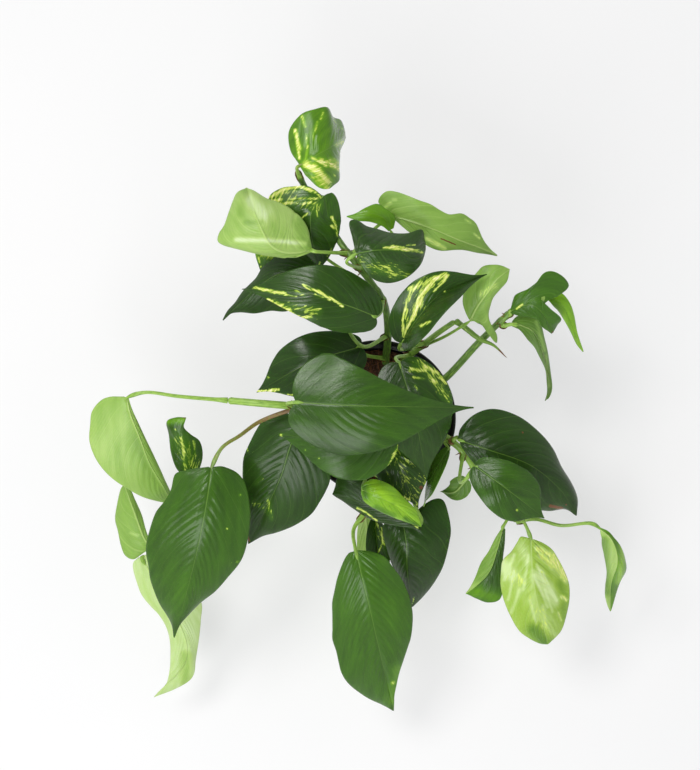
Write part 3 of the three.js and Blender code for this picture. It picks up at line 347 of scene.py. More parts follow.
        vine='north', at=7, stalk=[(-43, 160, 181)],
        rib=[(-41, 162, 191), (-47, 155, 196), (-50, 146, 198), (-49, 130, 192), (-43, 112, 173)],
        left_edge=[(-39, 162, 190), (-35, 165, 190), (-31, 160, 189), (-29, 150, 187),
            (-29, 141, 185), (-32, 130, 182), (-37, 120, 177)],
        right_edge=[(-43, 162, 191), (-47, 166, 192), (-53, 169, 193), (-61, 169, 192),
            (-71, 168, 188), (-80, 162, 184), (-78, 151, 184), (-70, 138, 183), (-58, 125, 180),
            (-49, 117, 176)],
    ),
    'north_hidden': dict(
        vine='north', at=3.6, stalk=[(-36, 117, 158), (-55, 133, 154)],
        rib=[(-69, 134, 152), (-77, 117, 152), (-77, 98, 144), (-72, 81, 132)],
        left_edge=[(-68, 134, 151), (-59, 123, 149), (-56, 108, 145), (-60, 93, 139)],
        right_edge=[(-71, 135, 151), (-83, 137, 151), (-91, 131, 150), (-92, 123, 149),
            (-89, 113, 147), (-85, 101, 142), (-79, 90, 136)],
        arch=2,
    ),
    'northwest_dark': dict(
        vine='north', at=2, stalk=[(-12, 54, 156), (-26, 72, 168)],
        rib=[(-39, 104, 163), (-58, 109, 167), (-77, 106, 165), (-96, 93, 156), (-117, 74, 143)],
        left_edge=[(-39, 102, 162), (-44, 96, 159), (-55, 89, 156), (-68, 81, 152), (-81, 81, 150),
            (-93, 79, 148), (-104, 80, 146), (-112, 79, 144)],
        right_edge=[(-40, 106, 163), (-44, 113, 163), (-51, 120, 162), (-60, 123, 161),
            (-70, 123, 160), (-79, 119, 159), (-87, 112, 157), (-92, 104, 155), (-101, 95, 151),
            (-107, 87, 147), (-113, 81, 144)],
        arch=2,
    ),
    'northwest_streaked': dict(
        vine='north', at=3.2, stalk=[(1, 79, 178)],
        rib=[(-3, 75, 188), (-22, 82, 200), (-52, 91, 205), (-100, 95, 188)],
        left=dict(half=21), right=dict(half=24), widest=0.32, lobe=0.05,
    ),
    'north_round': dict(
        vine='north', at=4.7, stalk=[(-24, 113, 208)],
        rib=[(-17, 119, 213), (-4, 121, 217), (14, 122, 213), (26, 125, 201), (33, 129, 190)],
        left_edge=[(-18, 121, 213), (-20, 129, 211), (-22, 141, 206), (-17, 143, 205),
            (-10, 139, 204), (-2, 137, 203), (9, 134, 203), (20, 134, 200), (30, 137, 194)],
        right_edge=[(-17, 118, 213), (-12, 109, 212), (-4, 101, 208), (7, 99, 203), (19, 103, 199),
            (29, 112, 195), (33, 122, 191)],
    ),
    'north_young': dict(
        vine='north', at=5, stalk=[(-6, 128, 180), (9, 133, 174)],
        rib=[(8, 139, 178), (3, 147, 185), (-7, 150, 188), (-24, 148, 184)],
        left_edge=[(7, 138, 178), (2, 142, 181), (-6, 145, 183), (-16, 146, 184)],
        right_edge=[(10, 140, 178), (11, 148, 180), (5, 153, 183), (-2, 157, 184), (-10, 154, 186),
            (-17, 150, 186)],
    ),
    'north_light': dict(
        vine='north', at=5.4, stalk=[(-8, 136, 172)],
        rib=[(9, 150, 171), (24, 145, 176), (38, 140, 177), (59, 132, 169), (75, 127, 160),
            (88, 122, 151)],
        left_edge=[(8, 152, 171), (3, 155, 172), (-1, 159, 173), (1, 164, 175), (6, 167, 177),
            (13, 166, 179), (21, 163, 181), (28, 160, 182), (37, 157, 181), (44, 153, 179),
            (51, 150, 177), (60, 151, 173), (66, 148, 169), (71, 144, 165), (76, 134, 159),
            (82, 127, 154)],
        right_edge=[(10, 149, 170), (15, 145, 170), (22, 139, 169), (30, 133, 169), (37, 128, 168),
            (46, 125, 167), (57, 126, 164), (65, 126, 160), (75, 124, 155)],
        turned=True, arch=2,
    ),
    'northeast_streaked': dict(
        vine='northeast', at=2.4, stalk=[(16, 52, 150)],
        rib=[(17, 57, 168), (27, 73, 183), (44, 91, 191), (78, 106, 185)],
        half=21, left=dict(fold=[15, 15]), right=dict(fold=[62, 62]), lobe=0.03,
    ),
    'northeast_pale': dict(
        vine='northeast', at=2.2, stalk=[(48, 61, 142), (60, 68, 159)],
        rib=[(67, 73, 168), (72, 83, 173), (79, 93, 178), (86, 103, 180), (95, 110, 177)],
        left_edge=[(66, 75, 168), (62, 84, 168), (62, 92, 169), (64, 100, 172), (70, 106, 175),
            (76, 112, 178), (84, 113, 179), (90, 112, 179)],
        right_edge=[(68, 73, 167), (73, 73, 166), (78, 69, 163), (82, 63, 158), (87, 57, 152),
            (87, 63, 155), (82, 70, 161), (80, 77, 165), (81, 84, 169), (83, 90, 172),
            (88, 96, 174), (93, 102, 176)],
        turned=True, arch=2,
    ),
    'east_top': dict(
        vine='east', at=6.5, stalk=[(98, 78, 153)],
        rib=[(97, 80, 155), (106, 84, 162), (114, 84, 165), (122, 77, 160), (130, 65, 146)],
        tip=(130, 64, 144),
        left_edge=[(96, 81, 155), (100, 83, 156), (100, 90, 160), (103, 93, 164), (110, 96, 168),
            (115, 100, 172), (121, 107, 175), (128, 108, 174), (136, 104, 170), (140, 98, 165),
            (134, 93, 164), (125, 91, 166), (119, 89, 168), (126, 82, 163), (135, 75, 155),
            (133, 70, 148)],
        right_edge=[(98, 79, 154), (105, 77, 156), (112, 76, 158), (118, 74, 157), (122, 69, 152),
            (127, 66, 147)],
        arch=1,
    ),
    'east_young': dict(
        vine='east', at=7.8, stalk=[(120, 91, 149)],
        rib=[(126, 91, 150), (135, 87, 152), (143, 76, 140), (150, 63, 125), (158, 51, 108)],
        left_edge=[(127, 92, 150), (132, 94, 152), (137, 93, 152), (143, 86, 148), (147, 77, 140),
            (151, 64, 126)],
        right_edge=[(126, 90, 150), (129, 87, 148), (135, 82, 142), (141, 74, 134), (147, 65, 124),
            (152, 57, 114)],
        arch=2,
    ),
    'east_hanging': dict(
        vine='east', at=6, stalk=[(93, 70, 146)],
        rib=[(99, 71, 148), (107, 70, 146), (117, 65, 138), (125, 52, 118), (133, 36, 85),
            (136, 21, 65), (134, 13, 58)],
        left_edge=[(100, 73, 148), (104, 77, 146), (111, 78, 145), (119, 76, 143), (123, 70, 137),
            (126, 61, 128), (130, 51, 112), (135, 37, 86), (138, 24, 67), (137, 16, 60)],
        right_edge=[(99, 70, 148), (105, 67, 146), (112, 60, 138), (119, 54, 126), (125, 46, 108),
            (131, 37, 88), (134, 26, 70), (135, 19, 62)],
        turned=True, arch=1,
    ),
}
VINE_TONES = {'north': -0.3, 'northeast': -0.1, 'east': -0.22, 'south': -0.1}  # older, darker vines
ROLLED_LEAF = dict(
    vine='northeast', radius=1.7,
    points=[(63, 69, 151), (75, 60, 150), (86, 55, 148), (96, 46, 142)],
)

PLAIN_LEAF = dict(
    half=24, widest=0.38, lobe=0.04, full=1, taper=0.14, fold=[0, 0], curl=-12, roll=[0, 0],
    wave=[1, 2, 0], left={}, right={}, arch=1.5, turned=False,
)
SHOULDER = 0.45                   # share of an outline's steps from the base to its widest place
ROW_SPREAD = 2.2                  # how closely the rows start together at the base
ROW_SWEEP = 1.3                   # how soon they bend towards the tip
COLUMN_SPREAD = 1.25              # how closely the columns start beside the midrib
SIDE_STEPS = 65                   # places on a midrib where its sideways direction is known
SUNK = 0.05                       # the stalk runs this far under the blade, in blade lengths
STALK_DROP = 0.9                  # and this far below its middle
BLADE_THICKNESS = 0.5
STOUT_BLADE = 120                 # length of a blade with the thickest stalk
STALK_RADII = [0.9, 1.4]          # of the thinnest and the thickest stalk
LARGE_BLADE = 60                  # a blade longer than this has the finer net
LARGE_NET, SMALL_NET = (170, 34), (80, 18)   # rows, and columns on each side of the midrib

ROW_EASE = 1.5                    # how closely the rows start on a margin given by points
MARGIN_REACH = 0.4                # the fine margin runs this far outside its points
BESIDE_STEPS = 301                # places on the midrib that are tried for the nearest one
ROWS_BESIDE = 6                   # rows on each side that its place is smoothed over
DOME_WIDTH = 15                   # a half narrower than this is domed less
RIPPLE_LENGTH, RIPPLE_WIDTH = 18, 11   # of the slow unevenness of a blade
RAGGED = 0.012                    # unevenness of the margin, as a share of the width
GROOVE_DEPTH, GROOVE_WIDTH = 0.32, 0.7   # of the midrib above
RIDGE_TIP, RIDGE_GAIN, RIDGE_WIDTH = 0.25, 0.65, 0.8   # below: at the tip, more at the base
THREAD_HEIGHT, THREAD_WIDTH = 0.12, 0.06   # of the side veins below, the width in vein gaps

VEIN_GAP = 7.5                    # between side veins, along the midrib
LEAST_VEINS = 6
VEIN_SWEEP = 0.46                 # how far they run forwards on the way out, in blade lengths
VEIN_WAVER = 0.22                 # how far a vein strays, as a share of the gap
PLEATS = 2.5                      # fine pleats from one vein to the next
PLEAT_SHARE = 0.35                # their height against that of the puffed skin
SLOW_RISE = 0.5                   # height of the slow unevenness over a whole blade
CALM_BY_RIB = 0.15                # share of the width beside the midrib that is less puffed
CALM_WIDTH = 5                    # and this far from it in millimetres
STREAK_TURN = math.radians(20)    # between the midrib and the pale streaks
STREAK_WIDTH, STREAK_LENGTH = 4.5, 26
MARK_CORE, MARK_FALL = 1.2, 0.6   # a mark is whole in its core, then falls off with distance
GREEN_IN_CREAM = 0.22             # even the palest streak keeps some green in it


# ---- The leaves' looks --------------------------------------------------------------------
# tone: from deep green 0 to bright 1. quilt: how far the blade is puffed up between its veins.
# cream, dry and light: pale streaks, brown marks and brighter or duller patches, each from (x, y)
# to (x, y), so far to each side and so strong. The light patches are mostly painted sheen and
# highlights, with painted shade where the strength is below 0, and here and there the leaf's own
# brighter or duller green. washed: the whole upper skin is milky. pale_half and dark_half: a half
# that is folded over, so that its other skin shows.
# stalk and stalk_dry: its tone, and how brown it is at its foot and at the blade. sheath: length
# of the dry sheath at its foot, or 0 for none.

PLAIN_LOOKS = dict(
    slot='leaf_dark', tone=0.3, quilt=0.7, cream=[], dry=[], light=[], washed=False,
    pale_half='', dark_half='',
    stalk=0.0, stalk_dry=[0.0, 0.0], sheath=8,
)
LOOKS = {
    'heart': dict(slot='leaf_green', tone=0.29, quilt=0.4),
    'under_heart': dict(slot='leaf_green', tone=0.29,
        cream=[(16, -15, 9, -28, 0.9, 0.85), (9, -28, 6, -34, 0.6, 0.7),
            (-72, -11, -72, -11, 0.9, 0.9), (-44, -28, -44, -28, 0.7, 0.8),
            (-54, -22, -54, -22, 0.6, 0.7), (31, -6, 37, -18, 2.2, 0.42),
            (38, -12, 44, -23, 1.5, 0.4)],
        light=[(32, -4, 40, -18, 2.9, 0.3)]),
    'east_rim': dict(tone=0.22,
        cream=[(30, 42, 48, 20, 3.7, 0.5), (23, 37, 34, 36, 1.5, 0.8),
            (33, 39, 43, 34, 1.9, 0.85), (37, 32, 42, 27, 1.6, 0.85),
            (45, 31, 49, 27, 1.5, 0.85), (25, 31, 33, 30, 0.9, 0.7), (45, 23, 51, 14, 1.8, 0.5),
            (26, 25, 28, 22, 0.6, 0.7)]),
    'west_rim': dict(tone=0.14,
        cream=[(-92, 21, -80, 21, 0.7, 0.9), (-82, 21, -75, 22, 1.1, 1),
            (-75, 19, -64, 18, 0.6, 0.7), (-86, 34, -83, 31, 1.1, 0.6)],
        dry=[(-90, 27, -89, 25, 0.7, 0.6)]),
    'southwest_dark': dict(tone=0.16, quilt=0.85,
        cream=[(-93, -64, -84, -69, 3, 0.36), (-84, -59, -81, -76, 1.5, 0.4),
            (-98, -25, -100, -20, 0.6, 0.7), (-92, -49, -88, -45, 1.5, 0.34)],
        dry=[(-100, -91, -99, -95, 0.5, 0.95), (-98, -76, -98, -78, 0.5, 0.9)]),
    'southwest_big': dict(slot='leaf_green', tone=0.36, quilt=0.85, stalk_dry=[0.5, 0.2],
        stalk=-0.15,
        cream=[(-113, -81, -113, -81, 0.6, 0.9), (-103, -56, -103, -56, 0.7, 0.9),
            (-106, -107, -106, -107, 0.7, 0.9)],
        light=[(-152, -147, -145, -125, 6.8, 0.09), (-135, -138, -122, -105, 4.6, 0.06)]),
    'west_pale': dict(slot='leaf_underside', tone=0.58, sheath=0,
        light=[(-192, -4, -208, -23, 5.9, 0.08), (-178, -16, -167, -62, 6.7, -0.14)]),
    'west_small': dict(slot='leaf_variegated', tone=0.3,
        cream=[(-149, -15, -147, -25, 1, 0.8), (-148, -25, -147, -39, 1.1, 0.75),
            (-140, -17, -139, -28, 0.9, 0.8), (-140, -28, -143, -35, 0.9, 0.6),
            (-153, -8, -153, -8, 0.8, 0.7), (-151, -16, -140, -35, 5.3, 0.42)],
        dry=[(-146, 1, -146, 1, 0.6, 1)],
        light=[(-159, -2, -146, -1, 2.3, 0.4)]),
    'west_low': dict(slot='leaf_underside', tone=0.4,
        cream=[(-193, -90, -187, -92, 0.8, 0.5)]),
    'west_trailing': dict(slot='leaf_underside', tone=0.85,
        light=[(-152, -190, -154, -214, 3.2, -0.25)]),
    'south_front': dict(slot='leaf_green', tone=0.42, quilt=0.85,
        cream=[(12, -208, 12, -208, 1.2, 0.95)],
        # The light mark: a painted highlight towards the tip.
        light=[(16, -197, 12, -224, 4.7, 0.2)]),
    'south_dark': dict(tone=0.16,
        cream=[(29, -142, 28, -148, 0.6, 0.7), (54, -95, 54, -95, 0.6, 0.8)]),
    'south_rim': dict(tone=0.14,
        cream=[(-16, -68, -9, -72, 0.9, 0.9), (-9, -72, -1, -78, 0.7, 0.8),
            (26, -80, 31, -84, 0.6, 0.7), (3, -84, 7, -87, 0.9, 0.5)]),
    'south_young': dict(slot='leaf_young', tone=0.85, quilt=0.9,
        light=[(-11, -51, -10, -57, 1.9, -0.3), (-2, -66, 10, -72, 1.9, -0.25),
            (20, -74, 29, -81, 1.5, -0.3), (-4, -48, 7, -60, 2.2, 0.12),
            (13, -64, 25, -76, 1.1, 0.15)]),
    'south_speckled': dict(tone=0.1,
        cream=[(10, -16, 31, -62, 10.5, 0.38), (29, -65, 29, -65, 0.8, 0.9),
            (34, -36, 36, -54, 0.8, 0.6), (20, -59, 22, -61, 0.7, 0.7)],
        dry=[(32, -52, 32, -52, 1.4, 0.95)]),
    'south_hidden': dict(tone=0.1,
        cream=[(-1, -84, 5, -100, 3.1, 0.4), (3, -86, 4, -98, 0.6, 0.85),
            (4, -98, 1, -106, 0.6, 0.85)]),
    'south_low': dict(slot='leaf_underside', tone=0.7),
    'east_edge': dict(slot='leaf_green', tone=0.42),
    'east_under': dict(slot='leaf_underside', tone=0.15),
    'east_big': dict(tone=0.14, quilt=0.6,
        dry=[(130, -66, 139, -68, 1.2, 0.9), (142, -65, 142, -65, 0.8, 0.7),
            (107, -10, 107, -10, 0.7, 1)]),
    'east_green': dict(slot='leaf_green', tone=0.3,
        cream=[(101, -66, 101, -66, 1, 0.9)]),
    'southeast_light': dict(slot='leaf_variegated', tone=0.62, washed=True, quilt=1.4,
        cream=[(121, -99, 133, -105, 1.8, 0.9), (124, -104, 133, -113, 2, 0.8),
            (133, -108, 144, -120, 3.1, 0.95), (139, -116, 144, -124, 2.3, 0.8),
            (124, -117, 128, -126, 1.2, 0.55), (141, -137, 145, -140, 1.2, 0.85),
            (139, -150, 142, -157, 0.7, 0.7), (107, -120, 111, -126, 1.5, 0.6),
            (126, -144, 130, -163, 1.5, 0.55), (116, -139, 132, -166, 4.6, 0.34),
            (96, -109, 108, -131, 6.1, 0.3)],
        # The light marks: painted sheen in stripes along the pleats, painted shade where below 0.
        light=[(120, -111, 137, -140, 0.8, 0.24), (118, -119, 130, -145, 0.8, 0.24),
            (97, -97, 93, -120, 1.2, 0.26), (104, -104, 97, -124, 0.9, 0.24),
            (127, -131, 134, -149, 0.8, 0.2), (108, -131, 103, -150, 1, 0.2),
            (104, -117, 100, -140, 0.8, 0.22), (116, -139, 122, -159, 0.8, 0.18),
            (114, -104, 111, -131, 0.8, 0.2), (121, -164, 130, -175, 4.6, -0.45),
            (139, -128, 145, -155, 3.1, -0.2), (108, -97, 114, -108, 3, 0.18),
            (121, -119, 137, -140, 3.8, 0.3), (96, -113, 102, -120, 3.1, 0.3)]),
    'southeast_fold': dict(slot='leaf_underside', tone=0.32, dark_half='right',
        light=[(73, -136, 96, -143, 5.5, 0.34)]),
    'southeast_end': dict(slot='leaf_young', tone=0.62, pale_half='right',
        light=[(187, -98, 188, -127, 2.7, 0.3), (172, -94, 179, -137, 2.7, -0.42)]),
    'north_end': dict(slot='leaf_variegated', tone=0.62, stalk_dry=[0.1, 0.3],
        cream=[(-61, 209, -58, 196, 1.2, 1), (-60, 202, -58, 189, 0.9, 0.95),
            (-56, 219, -54, 212, 0.9, 0.8), (-53, 206, -53, 200, 0.6, 0.6),
            (-52, 198, -53, 191, 0.7, 0.7), (-53, 191, -54, 186, 0.6, 0.6),
            (-45, 215, -47, 208, 0.6, 0.6), (-41, 222, -43, 217, 0.7, 0.6),
            (-48, 207, -48, 202, 0.6, 0.5), (-33, 219, -33, 218, 0.7, 0.7),
            (-28, 215, -28, 215, 0.9, 0.7), (-27, 206, -32, 199, 0.9, 0.6),
            (-53, 185, -45, 179, 2.2, 1), (-48, 183, -38, 173, 2.3, 1),
            (-45, 175, -38, 168, 2.2, 0.75), (-49, 189, -39, 184, 0.9, 1),
            (-43, 187, -30, 184, 1.6, 0.95), (-36, 188, -31, 188, 1.4, 0.7),
            (-49, 176, -43, 169, 1.1, 0.6), (-33, 178, -33, 178, 0.7, 0.8)]),
    'north_pale': dict(slot='leaf_underside', tone=0.6,
        # The light marks: painted highlight along the fold, painted sheen beside it, painted shade
        # below 0.
        light=[(-93, 158, -83, 147, 5, 0.3), (-103, 129, -54, 127, 1.4, 0.35),
            (-96, 141, -84, 141, 1.4, -0.15), (-57, 140, -53, 126, 3.6, -0.2),
            (-97, 164, -100, 147, 2.2, -0.12)]),
    'north_streaked': dict(slot='leaf_variegated', tone=0.3,
        cream=[(-80, 162, -70, 167, 1.3, 0.9), (-70, 167, -58, 169, 1.2, 0.9),
            (-58, 169, -47, 165, 1.3, 1), (-47, 165, -43, 161, 0.9, 0.7),
            (-78, 159, -71, 160, 1.3, 0.95), (-72, 157, -61, 157, 1.3, 0.85),
            (-65, 160, -45, 160, 1.1, 0.75), (-56, 156, -50, 157, 1.1, 0.9),
            (-75, 164, -58, 166, 1.8, 0.55), (-76, 163, -47, 155, 4.4, 0.45),
            (-58, 145, -52, 149, 0.7, 0.75), (-46, 151, -45, 147, 0.7, 0.6),
            (-35, 147, -32, 141, 0.9, 0.8), (-35, 141, -33, 139, 0.8, 1),
            (-32, 141, -31, 134, 0.7, 0.7), (-44, 115, -44, 113, 0.7, 0.8),
            (-38, 120, -35, 125, 0.6, 0.6)]),
    'north_hidden': dict(slot='leaf_variegated', tone=0.4,
        cream=[(-91, 125, -78, 122, 4.5, 0.5), (-90, 121, -89, 117, 0.7, 0.9),
            (-88, 114, -88, 114, 0.7, 0.8)]),
    'northwest_dark': dict(tone=0.14),
    'northwest_streaked': dict(slot='leaf_variegated', tone=0.2,
        cream=[(-55, 97, -50, 94, 0.9, 0.95), (-50, 94, -43, 92, 0.9, 0.8),
            (-45, 93, -36, 87, 1.1, 1), (-36, 88, -27, 82, 0.9, 1),
            (-46, 90, -40, 88, 1.1, 0.6), (-91, 96, -78, 93, 1, 0.95),
            (-79, 93, -68, 91, 1.1, 0.85), (-68, 90, -60, 89, 0.6, 0.7),
            (-60, 93, -54, 89, 1.1, 0.6), (-81, 87, -72, 83, 0.9, 0.95),
            (-75, 84, -65, 79, 1.8, 0.95), (-69, 79, -58, 74, 1, 1),
            (-59, 74, -49, 74, 0.9, 0.8), (-66, 82, -45, 78, 2.9, 0.5),
            (-54, 78, -43, 80, 1.1, 0.7)]),
    'north_round': dict(tone=0.2,
        cream=[(3, 123, 23, 122, 1.1, 0.95), (8, 124, 18, 123, 0.9, 0.9),
            (19, 125, 25, 126, 0.7, 0.7), (25, 122, 30, 121, 1, 0.85),
            (-14, 113, 18, 104, 4.3, 0.42), (-4, 109, 11, 105, 2.8, 0.55)]),
    'north_young': dict(slot='leaf_young', tone=0.7, quilt=0.3),
    'north_light': dict(slot='leaf_underside', tone=0.42,
        cream=[(35, 133, 48, 126, 1.2, 0.95), (2, 154, 8, 159, 1.1, 0.7),
            (10, 161, 12, 161, 0.9, 0.6), (70, 137, 74, 134, 0.7, 0.8),
            (63, 147, 67, 145, 0.7, 0.6)],
        dry=[(45, 133, 56, 129, 0.4, 1)]),
    'northeast_streaked': dict(slot='leaf_variegated', tone=0.2,
        cream=[(48, 105, 38, 101, 1.8, 1), (39, 102, 32, 93, 2.2, 1), (32, 93, 27, 83, 2.3, 1),
            (27, 83, 24, 74, 2, 1), (23, 74, 20, 67, 1.1, 0.95), (20, 67, 18, 61, 0.7, 0.85),
            (30, 99, 22, 94, 1.8, 0.85), (22, 93, 21, 87, 1.4, 0.8), (20, 87, 18, 74, 1.4, 0.8),
            (17, 74, 18, 62, 1.1, 0.8), (33, 98, 22, 73, 5.8, 0.42),
            (48, 103, 43, 98, 1.2, 0.95), (43, 97, 39, 93, 0.7, 0.9),
            (36, 71, 30, 68, 0.9, 0.9), (47, 93, 47, 93, 0.7, 1)]),
    'northeast_pale': dict(slot='leaf_underside', tone=0.4,
        cream=[(75, 92, 84, 98, 2.2, 0.55)],
        light=[(84, 88, 80, 73, 3.7, 0.15)]),
    'east_top': dict(slot='leaf_green', tone=0.44,
        cream=[(102, 82, 106, 85, 0.6, 0.95)],
        dry=[(130, 65, 130, 65, 0.6, 0.9)]),
    'east_young': dict(slot='leaf_young', tone=0.85, quilt=0.3),
    'east_hanging': dict(slot='leaf_underside', tone=0.12,
        # The light marks: painted sheen in pale lines along the blade.
        light=[(118, 73, 127, 52, 1.1, 0.3), (129, 48, 136, 25, 1.2, 0.3)]),
}


# ---- Lines and surfaces -------------------------------------------------------------------

def unit(vectors):
    """Each vector at length 1."""
    return vectors / np.linalg.norm(vectors, axis=-1, keepdims=True)


def read_along(share, knots, rows):
    """Rows of three values, read between the knots at each share."""
    return np.stack([np.interp(share, knots, rows[:, k]) for k in range(3)], -1)


def triples(*parts):
    """Rows of three from parts that are spread over the same grid."""
    return np.stack(np.broadcast_arrays(*parts), -1).reshape(-1, 3)


def around(sides):
    """Even angles, once round."""
    return np.linspace(0, 2 * math.pi, sides, endpoint=False)


class Line:
    """A smooth line through points, which can be walked by its length."""

    def __init__(self, points):
        p = np.array(points, float)
        self.points = np.vstack([2 * p[0] - p[1], p, 2 * p[-1] - p[-2]])
        self.spans = len(p) - 1
        self.steps = np.linspace(0, 1, 60 * self.spans + 1)
        places = self.at(self.steps)
        self.walked = np.append(0, np.cumsum(np.linalg.norm(np.diff(places, axis=0), axis=1)))
        self.length = self.walked[-1]
        self.headings = unit(np.gradient(places, self.walked, axis=0))

    def at(self, t):
        """The point at t, from 0 to 1, with the same share of t for each pair of points."""
        place = np.clip(np.asarray(t, float), 0, 1) * self.spans
        i = np.minimum(place.astype(int), self.spans - 1)
        w = (place - i)[..., None]
        a, b, c, d = (self.points[i + k] for k in range(4))
        return 0.5 * (2 * b + (c - a) * w + (2 * a - 5 * b + 4 * c - d) * w ** 2
                      + (3 * b - a - 3 * c + d) * w ** 3)

    def along(self, share):
        """The point at a share of the line's length."""
        return self.at(np.interp(np.asarray(share) * self.length, self.walked, self.steps))

    def heading(self, share):
        """The direction at a share of the line's length."""
        return unit(read_along(np.asarray(share) * self.length, self.walked, self.headings))


def bell(x, middle, width):
    """1 at the middle, falling off smoothly to both sides."""
    return np.exp(-((x - middle) / width) ** 2)


def carried(headings, start):
    """A sideways direction carried along a line's headings without twist."""
    sides = []
    side = np.array(start, float)
    for forward in headings:
        side = side - forward * (side @ forward)
        side = side / np.linalg.norm(side)
        sides.append(side)
    return np.array(sides)


def upwards(headings, start=(0, 0, 1)):
    """A direction that is carried along, upright at first, or aside where the line is steep."""
    return carried(headings, start if abs(headings[0, 2]) < STEEP else (1, 0, 0))


def uneven(seed, *coords):
    """A smooth random field of the coordinates, roughly from -1 to 1."""
    rng = np.random.default_rng(seed)
    waves = 7
    total = 0
    for _ in range(waves):
        turns = rng.normal(size=len(coords))
        total = total + np.sin(sum(t * c for t, c in zip(turns, coords)) + rng.uniform(0, 6.28))
    return total / waves * 1.6


def closed_sheet(upper, lower):
    """A thin closed skin from two grids of points. Says which of its faces are the upper ones."""
    rows, columns = upper.shape[:2]
    points = np.concatenate([upper.reshape(-1, 3), lower.reshape(-1, 3)])
    top = np.arange(rows * columns).reshape(rows, columns)
    under = top + rows * columns
    near, far = top[:-1], top[1:]
    below, beyond = under[:-1], under[1:]
    quads = [
        np.stack([near[:, 1:], near[:, :-1], far[:, :-1], far[:, 1:]], -1).reshape(-1, 4),
        np.stack([below[:, :-1], below[:, 1:], beyond[:, 1:], beyond[:, :-1]], -1).reshape(-1, 4),
        np.stack([near[:, 0], below[:, 0], beyond[:, 0], far[:, 0]], -1),
        np.stack([below[:, -1], near[:, -1], far[:, -1], beyond[:, -1]], -1),
        np.stack([top[0, :-1], top[0, 1:], under[0, 1:], under[0, :-1]], -1),
        np.stack([top[-1, 1:], top[-1, :-1], under[-1, :-1], under[-1, 1:]], -1),
    ]
    faces = np.concatenate(quads)
    return points, faces.tolist(), np.arange(len(faces)) < len(quads[0])


def wrapped(rings, sides):
    """Rings of point numbers, the same moved round by one, and the faces between the rings."""
    ring = np.arange(rings * sides).reshape(rings, sides)
    turned = np.roll(ring, -1, axis=1)
    quads = np.stack([ring[:-1], turned[:-1], turned[1:], ring[1:]], -1).reshape(-1, 4)
    return ring, turned, quads.tolist()


def capped(rings, sides):
    """The faces of a tube of rings that is closed at both ends."""
    ring, _, quads = wrapped(rings, sides)
    return quads + [ring[0, ::-1].tolist(), ring[-1].tolist()]


def closed_tube(centres, normals, binormals, radii):
    """A tube's skin from its rings, closed at both ends. radii has a row per ring."""
    rings, sides = radii.shape
    angle = around(sides)
    points = (centres[:, None]
              + normals[:, None] * (radii * np.cos(angle))[..., None]
              + binormals[:, None] * (radii * np.sin(angle))[..., None])
    return points.reshape(-1, 3), capped(rings, sides)


def tube_along(line, share, up, radii):
    """A closed tube round a line, from its upward directions and its radii at each share."""
    return closed_tube(line.along(share), up, np.cross(line.heading(share), up), radii)


def upright_tube(centres, radii):
    """A closed tube with level rings."""
    rings = len(centres)
    return closed_tube(centres, np.array([(1, 0, 0)] * rings), np.array([(0, 1, 0)] * rings),
                       radii)


def lathed(profile, angle):
    """The points of a profile of radii and heights that is turned round the upright axis."""
    radius, height = profile[:, :1], profile[:, 1:]
    return triples(radius * np.cos(angle), radius * np.sin(angle), height)


def new_mesh(name, points, faces):
    """A mesh from points in millimetres."""
    mesh = bpy.data.meshes.new(name)
    mesh.from_pydata((np.asarray(points) * MM).tolist(), [], faces)
    return mesh


def new_object(name, data):
    """An object with this data, in the scene."""
    made = bpy.data.objects.new(name, data)
    bpy.context.scene.collection.objects.link(made)
    return made


def bake(piece):
    """Gives a piece the mesh that its modifier makes, and takes the modifier off."""
    baked = bpy.data.meshes.new_from_object(
        piece.evaluated_get(bpy.context.evaluated_depsgraph_get()))
    piece.modifiers.clear()
    piece.data = baked


class Shape:
    """Gathers the skins of one piece: points, faces, their materials and their values."""

    def __init__(self, name):
        self.name = name
        self.points, self.faces, self.skins, self.values = [], [], [], {}
        self.materials = []

    def add(self, points, faces, material, **values):
        """material is one for all the faces, or one for each. values have a number or vector
        for each point. A skin that leaves one out has zeros."""
        first = sum(len(p) for p in self.points)
        given = np.atleast_1d(np.array(material, object))
        for skin in given:
            if skin not in self.materials:
                self.materials.append(skin)
        indices = np.array([self.materials.index(skin) for skin in given])
        self.skins.append(np.broadcast_to(indices, len(faces)))
        self.points.append(points)
        self.faces += [[i + first for i in face] for face in faces]
        for key, value in values.items():
            self.values.setdefault(key, []).append((first, np.asarray(value, float)))
        return self

    def build(self, node, slot):
        """Makes the piece and puts it in the node's place."""
        points = np.concatenate(self.points)
        mesh = new_mesh(self.name, points, self.faces)
        mesh.polygons.foreach_set("use_smooth", np.ones(len(self.faces), bool))
        for material in self.materials:
            mesh.materials.append(material)
        mesh.polygons.foreach_set("material_index", np.concatenate(self.skins).astype(np.int32))
        for key, parts in self.values.items():
            is_vector = parts[0][1].ndim == 2
            whole = np.zeros((len(points), 3) if is_vector else len(points), np.float32)
            for first, value in parts:
                whole[first:first + len(value)] = value
            kind, field = ("FLOAT_VECTOR", "vector") if is_vector else ("FLOAT", "value")
            layer = mesh.attributes.new(key, kind, "POINT")
            layer.data.foreach_set(field, whole.ravel())
        mesh.update()
        piece = new_object(self.name, mesh)
        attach(piece, "root")
        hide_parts(node)
        return piece


# ---- Materials ----------------------------------------------------------------------------

def linear(colour):
    """The linear colour of an sRGB hex number."""
    parts = [(colour >> shift & 255) / 255 for shift in (16, 8, 0)]
    return tuple(c / 12.92 if c <= 0.04045 else ((c + 0.055) / 1.055) ** 2.4 for c in parts) + (1,)


